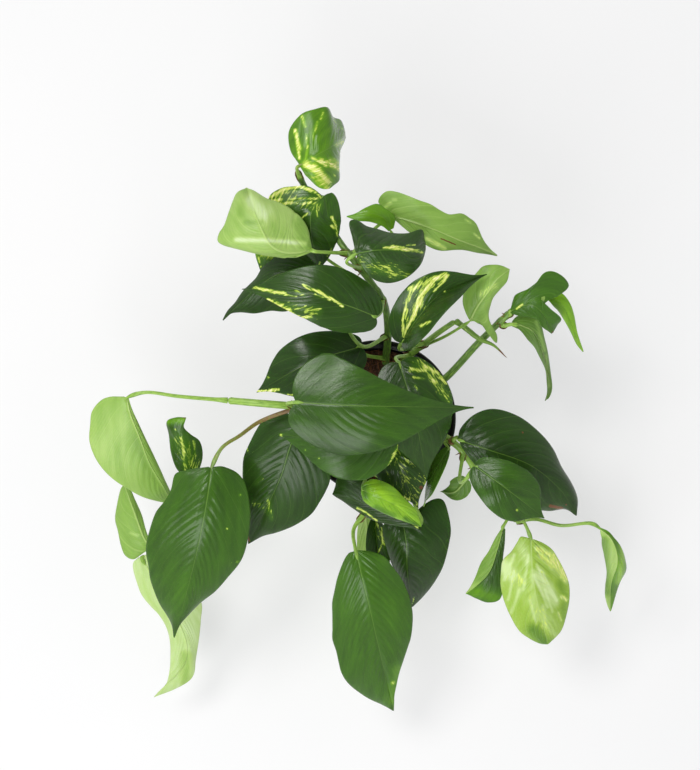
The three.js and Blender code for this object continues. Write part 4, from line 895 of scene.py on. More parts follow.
def add_node(tree, kind, inputs=None, stops=None, **settings):
    """Adds a node. An input takes a value, an output, or a node for its first output."""
    made = tree.nodes.new(kind)
    for name, value in settings.items():
        setattr(made, name, value)
    for name, value in (inputs or {}).items():
        if isinstance(value, bpy.types.Node):
            value = value.outputs[0]
        if isinstance(value, bpy.types.NodeSocket):
            tree.links.new(value, made.inputs[name])
        else:
            made.inputs[name].default_value = value
    if stops:
        ramp = made.color_ramp
        for _ in stops[2:]:
            ramp.elements.new(0.5)
        for element, (place, colour) in zip(ramp.elements, stops):
            element.position = place
            element.color = linear(colour)
    return made


def emptied(owner):
    """Clears the nodes of a material or world. Gives the function that adds a node to it."""
    owner.use_nodes = True
    owner.node_tree.nodes.clear()
    return partial(add_node, owner.node_tree)


def surface(name):
    """A new material, and the function that adds a node to it."""
    material = bpy.data.materials.new(name)
    return material, emptied(material)


MIX_FACTOR, MIX_A, MIX_B, MIX_RESULT = 0, 6, 7, 2   # a mix node's sockets for colours
DRY_BROWN = 0x6B4423
CORK_BROWN = 0x7A5A33
LIVING_DEPTH = {"Subsurface Scale": 0.002, "Subsurface Radius": (0.6, 1.0, 0.25)}


def blade_skin(name, greens, vein, vein_strength, fine, rib, rib_width, cream, roughness, relief):
    """Living leaf skin: greens from deep to light, veins, pale streaks and brown flecks. fine,
    rib_width and relief: strength of the fine veins, width of the rib, depth of the cells."""
    material, add = surface(name)
    # The tone attribute holds the leaf's green together with its painted sheen and painted shade.
    tone, phase, out, pale, dry = (
        add("ShaderNodeAttribute", attribute_name=value).outputs["Fac"]
        for value in ("tone", "vein", "out", "cream", "dry"))
    streak = add("ShaderNodeAttribute", attribute_name="streak").outputs["Vector"]

    # Cloudy unevenness of the green, a few centimetres across, and fine mottling.
    cloud = add("ShaderNodeTexNoise", {"Vector": streak, "Scale": 0.9, "Detail": 3.0})
    mottle = add("ShaderNodeTexNoise", {"Vector": streak, "Scale": 14.0, "Detail": 4.0})
    shift = add("ShaderNodeMath", {0: cloud, 1: 0.32, 2: -0.16}, operation="MULTIPLY_ADD")
    grain = add("ShaderNodeMath", {0: mottle, 1: 0.14, 2: -0.07}, operation="MULTIPLY_ADD")
    level = add("ShaderNodeMath", {0: tone, 1: shift}, operation="ADD")
    level = add("ShaderNodeMath", {0: level, 1: grain}, operation="ADD")
    level = add("ShaderNodeMath", {0: pale, 1: 0.45, 2: level}, operation="MULTIPLY_ADD")

    # Fine side veins, four from each large one to the next, as faint lighter lines.
    fourth = add("ShaderNodeMath", {0: phase, 1: 4.0}, operation="MULTIPLY")
    away = add("ShaderNodeMath", {0: fourth, 1: 0.5}, operation="PINGPONG")
    level = add("ShaderNodeMath", {0: away, 1: -2 * fine, 2: level}, operation="MULTIPLY_ADD")
    level = add("ShaderNodeMath", {0: level, 1: 0.5 * fine}, operation="ADD")
    green = add("ShaderNodeValToRGB", {"Fac": level}, stops=greens)

    # Side veins: the distance to the nearest whole number of the vein count.
    nearest = add("ShaderNodeMath", {0: phase, 1: 1.0}, operation="PINGPONG")
    line = add("ShaderNodeMapRange", {"Value": nearest, "From Min": 0.0, "From Max": 0.1,
               "To Min": vein_strength, "To Max": 0.0}, interpolation_type="SMOOTHSTEP")
    veined = add("ShaderNodeMix", {MIX_FACTOR: line, MIX_A: green, MIX_B: linear(vein)},
                 data_type="RGBA")
    midrib = add("ShaderNodeMapRange", {"Value": out, "From Min": 0.15, "From Max": rib_width,
                 "To Min": 0.6, "To Max": 0.0}, interpolation_type="SMOOTHSTEP")
    ribbed = add("ShaderNodeMix", {MIX_FACTOR: midrib, MIX_A: veined.outputs[MIX_RESULT],
                 MIX_B: linear(rib)}, data_type="RGBA")

    # Pale streaks run out along the side veins and break up into flecks at their edges.
    brush = add("ShaderNodeTexNoise", {"Vector": streak, "Scale": 3.4, "Detail": 6.0,
                "Roughness": 0.68, "Distortion": 0.2})
    spread = add("ShaderNodeMapRange", {"Value": brush, "From Min": 0.28, "From Max": 0.72})
    amount = add("ShaderNodeMath", {0: spread, 1: pale}, operation="ADD")
    edge = add("ShaderNodeMapRange", {"Value": amount, "From Min": 0.94, "From Max": 1.06},
               interpolation_type="SMOOTHSTEP")
    pallor = add("ShaderNodeMapRange", {"Value": amount, "From Min": 0.98, "From Max": 1.65})
    milk = add("ShaderNodeValToRGB", {"Fac": pallor}, stops=cream)
    streaked = add("ShaderNodeMix", {MIX_FACTOR: edge, MIX_A: ribbed.outputs[MIX_RESULT],
                   MIX_B: milk}, data_type="RGBA")

    # Dry brown edges and spots.
    crisp = add("ShaderNodeMath", {0: mottle, 1: dry}, operation="ADD")
    spot = add("ShaderNodeMapRange", {"Value": crisp, "From Min": 0.95, "From Max": 1.12},
               interpolation_type="SMOOTHSTEP")
    colour = add("ShaderNodeMix", {MIX_FACTOR: spot, MIX_A: streaked.outputs[MIX_RESULT],
                 MIX_B: linear(DRY_BROWN)}, data_type="RGBA")

    gloss = add("ShaderNodeMapRange", {"Value": mottle, "From Min": 0.3, "From Max": 0.7,
                "To Min": roughness - 0.05, "To Max": roughness + 0.07})
    cells = add("ShaderNodeTexVoronoi", {"Vector": streak, "Scale": 9.0},
                feature="DISTANCE_TO_EDGE")
    bump = add("ShaderNodeBump", {"Height": cells, "Strength": relief, "Distance": 0.0004})
    shader = add("ShaderNodeBsdfPrincipled", {"Base Color": colour.outputs[MIX_RESULT],
                 "Roughness": gloss, "Normal": bump, "IOR": 1.42, "Specular IOR Level": 0.35,
                 "Subsurface Weight": 0.12, **LIVING_DEPTH})
    add("ShaderNodeOutputMaterial", {"Surface": shader})
    return material


# Waxy upper skin: a satin gloss that shows the light as broad soft patches between the veins.
LEAF_UPPER = blade_skin(
    "waxy_leaf_upper",
    greens=[(0.0, 0x1F3312), (0.25, 0x2E4A18), (0.5, 0x41691A), (0.75, 0x64931C), (1.0, 0x8FBC2C)],
    vein=0x5C8230, vein_strength=0.16, fine=0.05, rib=0x6C903A, rib_width=0.6,
    cream=[(0.0, 0x86A634), (0.3, 0xBDCF55), (0.6, 0xE4E58C), (1.0, 0xF6F3CC)],
    roughness=0.21, relief=0.2)
# The same skin on a leaf that is milky all over, with yellow and cream in the streaks.
LEAF_WASHED = blade_skin(
    "milky_leaf_upper",
    greens=[(0.0, 0x4B761C), (0.3, 0x6F9428), (0.6, 0x94B342), (1.0, 0xC6DA98)],
    vein=0xA9C47C, vein_strength=0.3, fine=0.06, rib=0xB4CC7E, rib_width=1.0,
    cream=[(0.0, 0xB0CC48), (0.5, 0xDCE586), (1.0, 0xF0F0C0)],
    roughness=0.25, relief=0.25)
# Pale underside: the skin under the green cells holds air, so it is lighter, with a dull sheen.
LEAF_UNDER = blade_skin(
    "pale_leaf_underside",
    greens=[(0.0, 0x4F7326), (0.25, 0x6A8E38), (0.5, 0x87A94E), (0.75, 0xA5C06C), (1.0, 0xC6D8A4)],
    vein=0xA9C470, vein_strength=0.3, fine=0.05, rib=0xB8D07E, rib_width=1.1,
    cream=[(0.0, 0xA9C858), (0.5, 0xC4D87A), (1.0, 0xDFE7AA)],
    roughness=0.34, relief=0.3)


def stem_skin(name, greens, roughness):
    """Smooth green stem skin: long streaks, small brown corky marks, dry where dry is high."""
    material, add = surface(name)
    dry, tone = (add("ShaderNodeAttribute", attribute_name=value).outputs["Fac"]
                 for value in ("dry", "tone"))
    grain = add("ShaderNodeAttribute", attribute_name="streak").outputs["Vector"]
    streaks = add("ShaderNodeTexNoise", {"Vector": grain, "Scale": 2.2, "Detail": 5.0})
    level = add("ShaderNodeMath", {0: streaks, 1: tone}, operation="ADD")
    green = add("ShaderNodeValToRGB", {"Fac": level}, stops=greens)
    fleck = add("ShaderNodeTexNoise", {"Vector": grain, "Scale": 7.0, "Detail": 3.0})
    crisp = add("ShaderNodeMath", {0: fleck, 1: dry}, operation="ADD")
    cork = add("ShaderNodeMapRange", {"Value": crisp, "From Min": 0.74, "From Max": 0.9},
               interpolation_type="SMOOTHSTEP")
    colour = add("ShaderNodeMix", {MIX_FACTOR: cork, MIX_A: green, MIX_B: linear(CORK_BROWN)},
                 data_type="RGBA")
    gloss = add("ShaderNodeMapRange", {"Value": streaks, "To Min": roughness - 0.08,
                "To Max": roughness + 0.1})
    bump = add("ShaderNodeBump", {"Height": streaks, "Strength": 0.25, "Distance": 0.0005})
    shader = add("ShaderNodeBsdfPrincipled", {"Base Color": colour.outputs[MIX_RESULT],
                 "Roughness": gloss, "Normal": bump, "IOR": 1.42, "Subsurface Weight": 0.1,
                 **LIVING_DEPTH})
    add("ShaderNodeOutputMaterial", {"Surface": shader})
    return material


# Taut green skin with a dull shine and fine lengthwise streaks.
STEM = stem_skin(
    "green_stem_skin",
    greens=[(0.0, 0x38471F), (0.25, 0x5F8434), (0.5, 0x8BB048), (0.85, 0xB3CE6C)],
    roughness=0.36)


def papery():
    """Dry leaf sheath: thin brown paper with darker fibres along it, quite matt."""
    material, add = surface("dry_brown_sheath")
    grain = add("ShaderNodeAttribute", attribute_name="streak").outputs["Vector"]
    fibre = add("ShaderNodeTexNoise", {"Vector": grain, "Scale": 6.0, "Detail": 6.0})
    colour = add("ShaderNodeValToRGB", {"Fac": fibre},
                 stops=[(0.25, 0x4E331C), (0.5, 0x80592F), (0.8, 0xB49163)])
    bump = add("ShaderNodeBump", {"Height": fibre, "Strength": 0.5, "Distance": 0.0005})
    shader = add("ShaderNodeBsdfPrincipled", {"Base Color": colour, "Roughness": 0.7,
                 "Normal": bump, "IOR": 1.45})
    add("ShaderNodeOutputMaterial", {"Surface": shader})
    return material


SHEATH = papery()


def moulded_plastic():
    """Black polypropylene: faint milky scuffs on a satin moulded skin."""
    material, add = surface("black_polypropylene")
    place = add("ShaderNodeTexCoord").outputs["Object"]
    scuff = add("ShaderNodeTexNoise", {"Vector": place, "Scale": 60.0, "Detail": 6.0,
                "Roughness": 0.65})
    skin = add("ShaderNodeTexNoise", {"Vector": place, "Scale": 1500.0, "Detail": 2.0})
    colour = add("ShaderNodeValToRGB", {"Fac": scuff},
                 stops=[(0.35, 0x101113), (0.6, 0x17181A), (0.8, 0x24262A)])
    gloss = add("ShaderNodeMapRange", {"Value": scuff, "From Min": 0.3, "From Max": 0.75,
                "To Min": 0.36, "To Max": 0.52})
    bump = add("ShaderNodeBump", {"Height": skin, "Strength": 0.18, "Distance": 0.0002})
    shader = add("ShaderNodeBsdfPrincipled", {"Base Color": colour, "Roughness": gloss,
                 "Normal": bump, "IOR": 1.49})
    add("ShaderNodeOutputMaterial", {"Surface": shader})
    return material


POT_PLASTIC = moulded_plastic()


def coir(name, stops, scale):
    """Damp coconut-fibre soil: red-brown crumbs and threads with dark gaps, without shine."""
    material, add = surface(name)
    place = add("ShaderNodeTexCoord").outputs["Object"]
    crumb = add("ShaderNodeTexNoise", {"Vector": place, "Scale": scale, "Detail": 7.0,
                "Roughness": 0.7})
    colour = add("ShaderNodeValToRGB", {"Fac": crumb}, stops=stops)
    bump = add("ShaderNodeBump", {"Height": crumb, "Strength": 0.9, "Distance": 0.001})
    shader = add("ShaderNodeBsdfPrincipled", {"Base Color": colour, "Roughness": 0.92,
                 "Normal": bump, "IOR": 1.45})
    add("ShaderNodeOutputMaterial", {"Surface": shader})
    return material


SOIL = coir("damp_coir", [(0.3, 0x22140F), (0.5, 0x553629), (0.7, 0x84594A)], 420.0)
FIBRE = coir("coir_fibre", [(0.3, 0x5A3222), (0.55, 0x8A5638), (0.8, 0xB27C54)], 160.0)


# ---- Blades -------------------------------------------------------------------------------

def bezier(t, a, b, c, d):
    """The cubic curve from a to d that heads for b first and comes from c last."""
    s = 1 - t
    return s ** 3 * a + 3 * s * s * t * b + 3 * s * t * t * c + t ** 3 * d


def between(values, t):
    """A value at t, from 0 to 1, between evenly spaced ones."""
    return np.interp(t, np.linspace(0, 1, len(values)), values)


def outline(shape, u):
    """One half's margin: places along the midrib and out from it, for rows u from base to tip."""
    widest, lobe, full, taper = (shape[k] for k in ("widest", "lobe", "full", "taper"))
    t = u / SHOULDER
    first = (bezier(t, -0.01, -2 * lobe, widest - 0.55 * (widest + lobe), widest),
             bezier(t, 0.04, 0.45, 1, 1))
    t = (u - SHOULDER) / (1 - SHOULDER)
    second = (bezier(t, widest, widest + 0.3 * full, 0.45 + 0.35 * full, 1),
              bezier(t, 1, 1, taper, 0.015))
    return [np.where(u < SHOULDER, a, b) for a, b in zip(first, second)]


def ripple(leaf, hand, run, y, out, seed):
    """The slow unevenness of a blade, which is greatest at its margin."""
    height = leaf["wave"][0]
    unevenness = uneven(seed + 2, run / RIPPLE_LENGTH, y / RIPPLE_WIDTH * hand)
    return 0.9 * height * unevenness * out ** 1.5


def half_blade(leaf, hand, rib, sides, u, out, seed):
    """One half's middle surface on rows u and columns out, from the midrib 0 to the margin 1."""
    shape = {**leaf, **leaf["left" if hand > 0 else "right"]}
    edge_along, edge_out = (a[:, None] for a in outline(shape, u))
    ragged = 1 + RAGGED * uneven(seed + 1, u * 40)[:, None] * out ** 8
    root = u[:, None] ** ROW_SPREAD
    along = root + (edge_along - root) * out ** ROW_SWEEP
    y = shape["half"] * edge_out * out * ragged

    inside = np.clip(along, 0, 1)
    forward = rib.heading(inside)
    centre = rib.along(inside) + forward * ((along - inside) * rib.length)[..., None]
    side = read_along(inside, np.linspace(0, 1, len(sides)), sides)
    side = unit(side - forward * (side * forward).sum(-1, keepdims=True))
    roll = np.radians(between(shape["roll"], inside))[..., None]
    side = side * np.cos(roll) + np.cross(forward, side) * np.sin(roll)
    up = np.cross(forward, side)

    fold = np.radians(between(shape["fold"], inside))
    bend = math.radians(shape["curl"]) / shape["half"] + 1e-6
    lean = fold + bend * y
    across = (np.sin(lean) - np.sin(fold)) / bend
    height, number, phase = shape["wave"]
    rows = u[:, None]
    wave = height * out ** 2 * np.sin(2 * math.pi * number * rows + phase) * np.sin(math.pi * rows)
    rise = (np.cos(fold) - np.cos(lean)) / bend + wave
    rise = rise + ripple(shape, hand, along * rib.length, y, out, seed)

    point = centre + side * (across * hand)[..., None] + up * rise[..., None]
    normal = unit(up * np.cos(lean)[..., None] - side * (np.sin(lean) * hand)[..., None])
    return point, normal, y, along


def traced_half(leaf, hand, rib, sides, u, out, seed):
    """One half between the midrib and a margin that is given point by point."""
    tip = leaf.get("tip", leaf["rib"][-1])
    edge = Line([*leaf["left_edge" if hand > 0 else "right_edge"], tip])
    root = u ** ROW_EASE
    side = read_along(root, np.linspace(0, 1, len(sides)), sides) * hand
    middle = rib.along(root)
    margin = edge.along(u) + side * MARGIN_REACH
    chord = margin - middle
    width = np.linalg.norm(chord, axis=-1, keepdims=True)
    dome = leaf["arch"] * np.minimum(1, width / DOME_WIDTH)
    dome = unit(np.cross(rib.heading(root), chord)) * hand * dome
    w = out[None, :, None]
    crest = (middle + margin)[:, None] / 2 + dome[:, None]
    point = (1 - w) ** 2 * middle[:, None] + 2 * w * (1 - w) * crest + w ** 2 * margin[:, None]
    across = np.gradient(point, axis=1)
    normal = unit(np.cross(np.gradient(point, axis=0), across)) * hand
    y = width * out

    # How far along the midrib a row's margin lies, smoothed over a few rows.
    shares = np.linspace(0, 1, BESIDE_STEPS)
    gaps = np.linalg.norm(edge.along(u)[:, None] - rib.along(shares)[None], axis=-1)
    beside = np.maximum.accumulate(shares[gaps.argmin(1)])
    span = 2 * ROWS_BESIDE + 1
    beside = np.convolve(np.pad(beside, ROWS_BESIDE, mode="edge"), np.full(span, 1 / span),
                         mode="valid")
    along = root[:, None] + (beside - root)[:, None] * out
    rise = ripple(leaf, hand, along * rib.length, y, out, seed) * np.clip(y / 8, 0, 1)
    return point + normal * rise[..., None], normal, y, along


def veined_half(leaf, hand, rib, sides, u, out, seed, quilt):
    """One half with the count of its side veins, puffed up between them."""
    half = traced_half if "left_edge" in leaf else half_blade
    point, normal, y, along = half(leaf, hand, rib, sides, u, out, seed)

    # The side veins sweep forwards from the midrib. Each has a whole number of phase.
    origin = along - VEIN_SWEEP * out ** 1.2 * (0.6 + 0.5 * along)
    origin = np.where(origin < 0, 0.6 * origin, origin)
    phase = origin * max(LEAST_VEINS, rib.length / VEIN_GAP) + 0.25 * hand
    phase = phase + VEIN_WAVER * uneven(seed + 3, origin * 9)

    # Between the veins the blade is puffed up, most in mid-blade, with finer pleats on that.
    swell = np.abs(np.sin(math.pi * phase)) ** 0.6 - 0.6
    pleat = np.abs(np.sin(PLEATS * math.pi * phase + 1.2 * uneven(seed + 9, origin * 14)))
    reach = (np.clip(out / CALM_BY_RIB, 0, 1) * np.clip(1.25 * (1 - out), 0, 1)
             * np.clip(y / CALM_WIDTH, 0, 1))
    patches = np.clip(0.75 + 0.7 * uneven(seed + 6, origin * 4, y / 13), 0.15, 1.5)
    lift = quilt * (swell + PLEAT_SHARE * pleat) * reach * patches
    lift = lift + SLOW_RISE * uneven(seed + 8, origin * rib.length / 13, y / 9) * reach
    return point + normal * lift[..., None], normal, y, along, phase, np.full_like(y, hand)


def marked(marks, point):
    """Strength of each listed mark: from (x, y) to (x, y), so far to each side."""
    flat = point[..., :2]
    for x0, y0, x1, y1, width, strength in marks:
        a, b = np.array([x0, y0], float), np.array([x1, y1], float)
        run = b - a
        share = np.clip(((flat - a) @ run) / max(run @ run, 1e-9), 0, 1)
        gap = np.linalg.norm(flat - a - share[..., None] * run, axis=-1)
        yield strength * np.clip(MARK_CORE - MARK_FALL * gap / width, 0, 1)


def build_leaf(name, leaf, number):
    """A blade between its two skins, and its stalk."""
    shape = {**PLAIN_LEAF, **leaf}
    looks = {**PLAIN_LOOKS, **LOOKS[name]}
    seed = 10 * number
    rib = Line(shape["rib"])
    start = rib.heading(0.0)
    sides = carried(rib.heading(np.linspace(0, 1, SIDE_STEPS)), (-start[1], start[0], 0))

    rows, columns = LARGE_NET if rib.length > LARGE_BLADE else SMALL_NET
    u = np.linspace(0, 1, rows + 1)
    out = np.linspace(0, 1, columns + 1) ** COLUMN_SPREAD
    right, left = (veined_half(shape, hand, rib, sides, u, out, seed + hand, looks["quilt"])
                   for hand in (-1, 1))
    joined = [np.concatenate([r[:, :0:-1], l], axis=1) for r, l in zip(right, left)]
    if shape["turned"]:
        joined = [part[:, ::-1] for part in joined]
        joined[1] = -joined[1]
    point, normal, y, along, phase, hand = joined
    out = np.concatenate([out[:0:-1], out])

    # The midrib and the side veins stand out below, and the midrib is a groove above.
    taper = 1 - np.clip(along, 0, 1)
    thick = BLADE_THICKNESS * (1 - 0.6 * out ** 10)
    groove = GROOVE_DEPTH * bell(y, 0, GROOVE_WIDTH) * (0.4 + 0.6 * taper)
    ridge = (RIDGE_TIP + RIDGE_GAIN * taper) * bell(y, 0, RIDGE_WIDTH)
    threads = THREAD_HEIGHT * bell(phase, np.round(phase), THREAD_WIDTH) * np.clip(y / 3, 0, 1)
    upper = point + normal * (thick / 2 - groove)[..., None]
    lower = point - normal * (thick / 2 + ridge + threads * (1 - out ** 4))[..., None]
    points, faces, is_upper = closed_sheet(upper, lower)

    bare = np.zeros_like(y)
    cream = np.max([bare, *marked(looks["cream"], point)], axis=0)
    cream = cream - GREEN_IN_CREAM * cream ** 2
    dry = np.max([bare, *marked(looks["dry"], point)], axis=0)
    tone = looks["tone"] + 0.05 * uneven(seed + 5, along * 3, y / 12 * hand)
    # The light marks add to the tone: mostly painted sheen and highlights, painted shade where
    # below 0, and in places the leaf's own lighter or darker green.
    tone = tone + np.sum([bare, *marked(looks["light"], point)], axis=0)
    # Streaks run forwards and a little outwards from the midrib.
    ahead, aside = math.cos(STREAK_TURN), math.sin(STREAK_TURN)
    run = along * rib.length
    streak = np.stack([(y * ahead - run * aside) / STREAK_WIDTH,
                       (run * ahead + y * aside) / STREAK_LENGTH,
                       seed * 0.37 + 3 * hand], -1)

    # A half that is folded over shows its other skin.
    is_left = np.array([face[0] for face in faces]) % y.size % y.shape[1] >= columns
    halves = {"left": is_left, "right": ~is_left, "": np.zeros_like(is_left)}
    is_pale, is_dark = halves[looks["pale_half"]], halves[looks["dark_half"]]
    upper_skin = LEAF_WASHED if looks["washed"] else LEAF_UPPER
    skins = np.where(is_upper & ~is_pale | ~is_upper & is_dark, upper_skin, LEAF_UNDER)

    def twice(values):
        """The values of the upper grid of points, and the same for the lower one."""
        return np.concatenate([values.reshape(-1, *values.shape[2:])] * 2)

    piece = Shape(f"{name}_leaf")
    piece.add(points, faces, skins,
              tone=twice(tone), vein=twice(phase), streak=twice(streak),
              out=twice(y + 0.45 * np.clip(along, 0, 1)),
              cream=twice(cream), dry=twice(dry))
    add_stalk(piece, shape, rib, normal[:, len(out) // 2], looks, seed)
    piece.build(f"leaf_{name}", looks["slot"])


# ---- Stalks and vines ---------------------------------------------------------------------

STALK_SIDES, VINE_SIDES, ROLLED_SIDES, NUB_SIDES = 14, 20, 24, 7
RING_GAP = 1.2                    # between a stalk's rings
LEAST_RINGS = 24
KNEE_PLACE, KNEE_LENGTH, KNEE_SWELLING = 0.85, 0.08, 0.35   # shares of the stalk and its girth
FOOT_LENGTH, FOOT_SWELLING = 6, 0.5
CHANNEL_DEPTH, CHANNEL_ANGLE = 0.2, 0.45
SHEATH_SHARE = 0.45               # of a stalk, at most
SHEATH_THICKNESS = 0.24
VINE_RING_GAP = 1.3
NODE_SWELLING, NODE_LENGTH = 0.42, 2.6
SCAR_DEPTH, SCAR_LENGTH, SCAR_PLACE = 0.22, 0.7, 3.4
NUBS_AT_NODE = 2
NUB_RADIUS = 0.55
ROLLED_TURN = 5                   # radians that the free edge winds round


def vine_place(vine, at):
    """The point at a count along a vine's points."""
    line = Line(VINES[vine]["points"])
    return line.at(at / line.spans)


def add_stalk(piece, leaf, rib, blade_up, looks, seed):
    """The stalk: channelled on top, with a knee under the blade and a dry sheath at its foot."""
    below = blade_up[0] * STALK_DROP
    points = [vine_place(leaf["vine"], leaf["at"]), *leaf["stalk"], rib.along(0.0) - below,
              rib.along(SUNK) - below]
    line = Line(points)
    girth = np.interp(rib.length, [0, STOUT_BLADE], STALK_RADII)
    rings = max(LEAST_RINGS, int(line.length / RING_GAP))
    t = np.linspace(0, 1, rings + 1)
    up = upwards(line.heading(t))
    swelling = KNEE_SWELLING * bell(t, KNEE_PLACE, KNEE_LENGTH)
    foot = FOOT_SWELLING * bell(t * line.length, 0, FOOT_LENGTH)
    close = np.clip((1 - t) / 0.14, 0.05, 1) ** 0.6
    radius = girth * (np.interp(t, [0, 1], [1.2, 0.85]) + swelling + foot) * close
    angle = around(STALK_SIDES)
    gap = np.minimum(angle, 2 * math.pi - angle)
    channel = 1 - CHANNEL_DEPTH * bell(gap, 0, CHANNEL_ANGLE) + 0.06 * bell(gap, 0.8, 0.35)
    tube, faces = tube_along(line, t, up, radius[:, None] * channel)
    grain = triples(np.cos(angle), np.sin(angle), (t * line.length / 9 + seed)[:, None])
    duller = 0.1 * bell(t, 0.87, 0.06)
    piece.add(tube, faces, STEM, streak=grain,
              tone=np.repeat(looks["stalk"] - duller, STALK_SIDES),
              dry=np.repeat(np.interp(t, [0, 1], looks["stalk_dry"]), STALK_SIDES))
    if looks["sheath"]:
        add_sheath(piece, line, t, up, radius, looks["sheath"], seed)


def add_sheath(piece, line, t, up, radius, length, seed):
    """The dry sheath: it clasps the foot of a stalk from below and narrows to a point."""
    s = np.linspace(0.02, 1, 15)
    w = np.linspace(-1, 1, 11)
    share = s * min(SHEATH_SHARE, length / line.length)
    rings = len(t) - 1
    hold = radius[np.clip((share * rings).round().astype(int), 0, rings)]
    centre, forward = line.along(share), line.heading(share)
    up = read_along(share, t, up)
    up = unit(up - forward * (up * forward).sum(-1, keepdims=True))
    side = np.cross(forward, up)
    span = 2.3 * (1 - s ** 2.5)[:, None] * w + math.pi
    radial = up[:, None] * np.cos(span)[..., None] + side[:, None] * np.sin(span)[..., None]
    flare = (hold + 0.45 + 0.5 * s)[:, None] + 0.25 * uneven(seed + 7, span * 2, s[:, None] * 5)
    outer, inner = (centre[:, None] + radial * (flare + half)[..., None]
                    for half in (SHEATH_THICKNESS / 2, -SHEATH_THICKNESS / 2))
    points, faces, _ = closed_sheet(outer, inner)
    grain = triples(span * 2, s[:, None] * 0.8, float(seed))
    piece.add(points, faces, SHEATH, streak=np.concatenate([grain, grain]))


def build_vine(name, vine, number):
    """A stem with a swollen ring at each node, a scar beyond it and a few root nubs."""
    line = Line(vine["points"])
    rings = int(line.length / VINE_RING_GAP)
    t = np.linspace(0, 1, rings + 1)
    walked = t * line.length
    forward, centre = line.heading(t), line.along(t)
    up = upwards(forward, (0.3, 0.2, 1))
    side = np.cross(forward, up)
    radius = np.interp(t, [0, 1], vine["radius"])
    dry = 0.03 + 0.1 * np.exp(-walked / 12)
    nodes = [np.interp(leaf["at"] / line.spans, line.steps, line.walked)
             for leaf in LEAVES.values() if leaf["vine"] == name]
    for place in nodes:
        beyond = walked - place
        radius = radius + NODE_SWELLING * bell(beyond, 0, NODE_LENGTH)
        radius = radius - SCAR_DEPTH * bell(beyond, SCAR_PLACE, SCAR_LENGTH)
        dry = np.maximum(dry, 0.18 * bell(beyond, 3.0, 1.6))
    radius = radius * np.sqrt(np.clip((line.length - walked) / 2.2, 0.02, 1))
    angle = around(VINE_SIDES)
    flutes = (1 + 0.025 * np.cos(5 * angle + number)
              + 0.02 * uneven(number, np.cos(angle), walked[:, None] / 15))
    tube, faces = closed_tube(centre, up, side, radius[:, None] * flutes)
    grain = triples(np.cos(angle) * 1.4, np.sin(angle) * 1.4,
                    (walked / 12 + 5 * number)[:, None])
    piece = Shape(f"{name}_vine")
    piece.add(tube, faces, STEM, streak=grain, dry=np.repeat(dry, VINE_SIDES),
              tone=np.full(len(grain), VINE_TONES.get(name, -0.02)))

    rng = np.random.default_rng(100 + number)
    for place in nodes:
        for _ in range(NUBS_AT_NODE):
            share = (place - 2 + rng.uniform(-1, 1)) / line.length
            spin = rng.uniform(0.6, 1.4) * math.pi
            if not 0.1 < share < 0.97:
                continue
            at = int(round(share * rings))
            away = up[at] * math.cos(spin) + side[at] * math.sin(spin)
            base = centre[at] + away * radius[at] * 0.8
            tip = base + away * rng.uniform(2.2, 4.0) + forward[at] * rng.uniform(-1, 1)
            nub = Line([base, (base + tip) / 2 + forward[at] * 0.2, tip])
            s = np.linspace(0, 1, 6)
            size = NUB_RADIUS * np.sqrt(np.clip(1.02 - s, 0, 1))[:, None] * np.ones(NUB_SIDES)
            skin, sheets = tube_along(nub, s, carried(nub.heading(s), forward[at]), size)
            piece.add(skin, sheets, SHEATH, streak=skin / 3)
    piece.build(f"vine_{name}", "stem")


def build_rolled_leaf():
    """The leaf that is still rolled up: a slim spindle with the free edge winding round it."""
    carrier = VINES[ROLLED_LEAF["vine"]]["points"]
    line = Line([carrier[-1], *ROLLED_LEAF["points"]])
    t = np.linspace(0, 1, 61)
    radius = ROLLED_LEAF["radius"] * (0.75 + 0.6 * np.sin(math.pi * np.sqrt(t)) * (1 - 0.6 * t))
    radius = radius * (1 + 0.5 * bell(t, 0, 0.06)) * (1 - 0.85 * t ** 3)
    turn = np.mod(around(ROLLED_SIDES) - ROLLED_TURN * t[:, None], 2 * math.pi) / (2 * math.pi)
    spiral = 1 + 0.14 * (turn - 0.5)
    up = carried(line.heading(t), (0, 0.2, 1))
    tube, faces = tube_along(line, t, up, radius[:, None] * spiral)
    piece = Shape("northeast_rolled_leaf")
    piece.add(tube, faces, LEAF_UNDER, streak=triples(turn * 4, t[:, None] * 2, 0.0),
              tone=np.repeat(0.25 - 0.1 * t, ROLLED_SIDES), vein=np.full(len(tube), 0.5),
              out=np.full(len(tube), 5.0), cream=np.full(len(tube), 0.2),
              dry=np.repeat(np.clip((t - 0.7) * 5, 0, 1), ROLLED_SIDES))
    piece.build("leaf_northeast_rolled", "leaf_young")


# ---- Pot and soil -------------------------------------------------------------------------

def pot_radius(height):
    """The outside of the pot's wall."""
    return np.interp(height, [0, POT_NECK], [POT_BASE_RADIUS, POT_NECK_RADIUS])


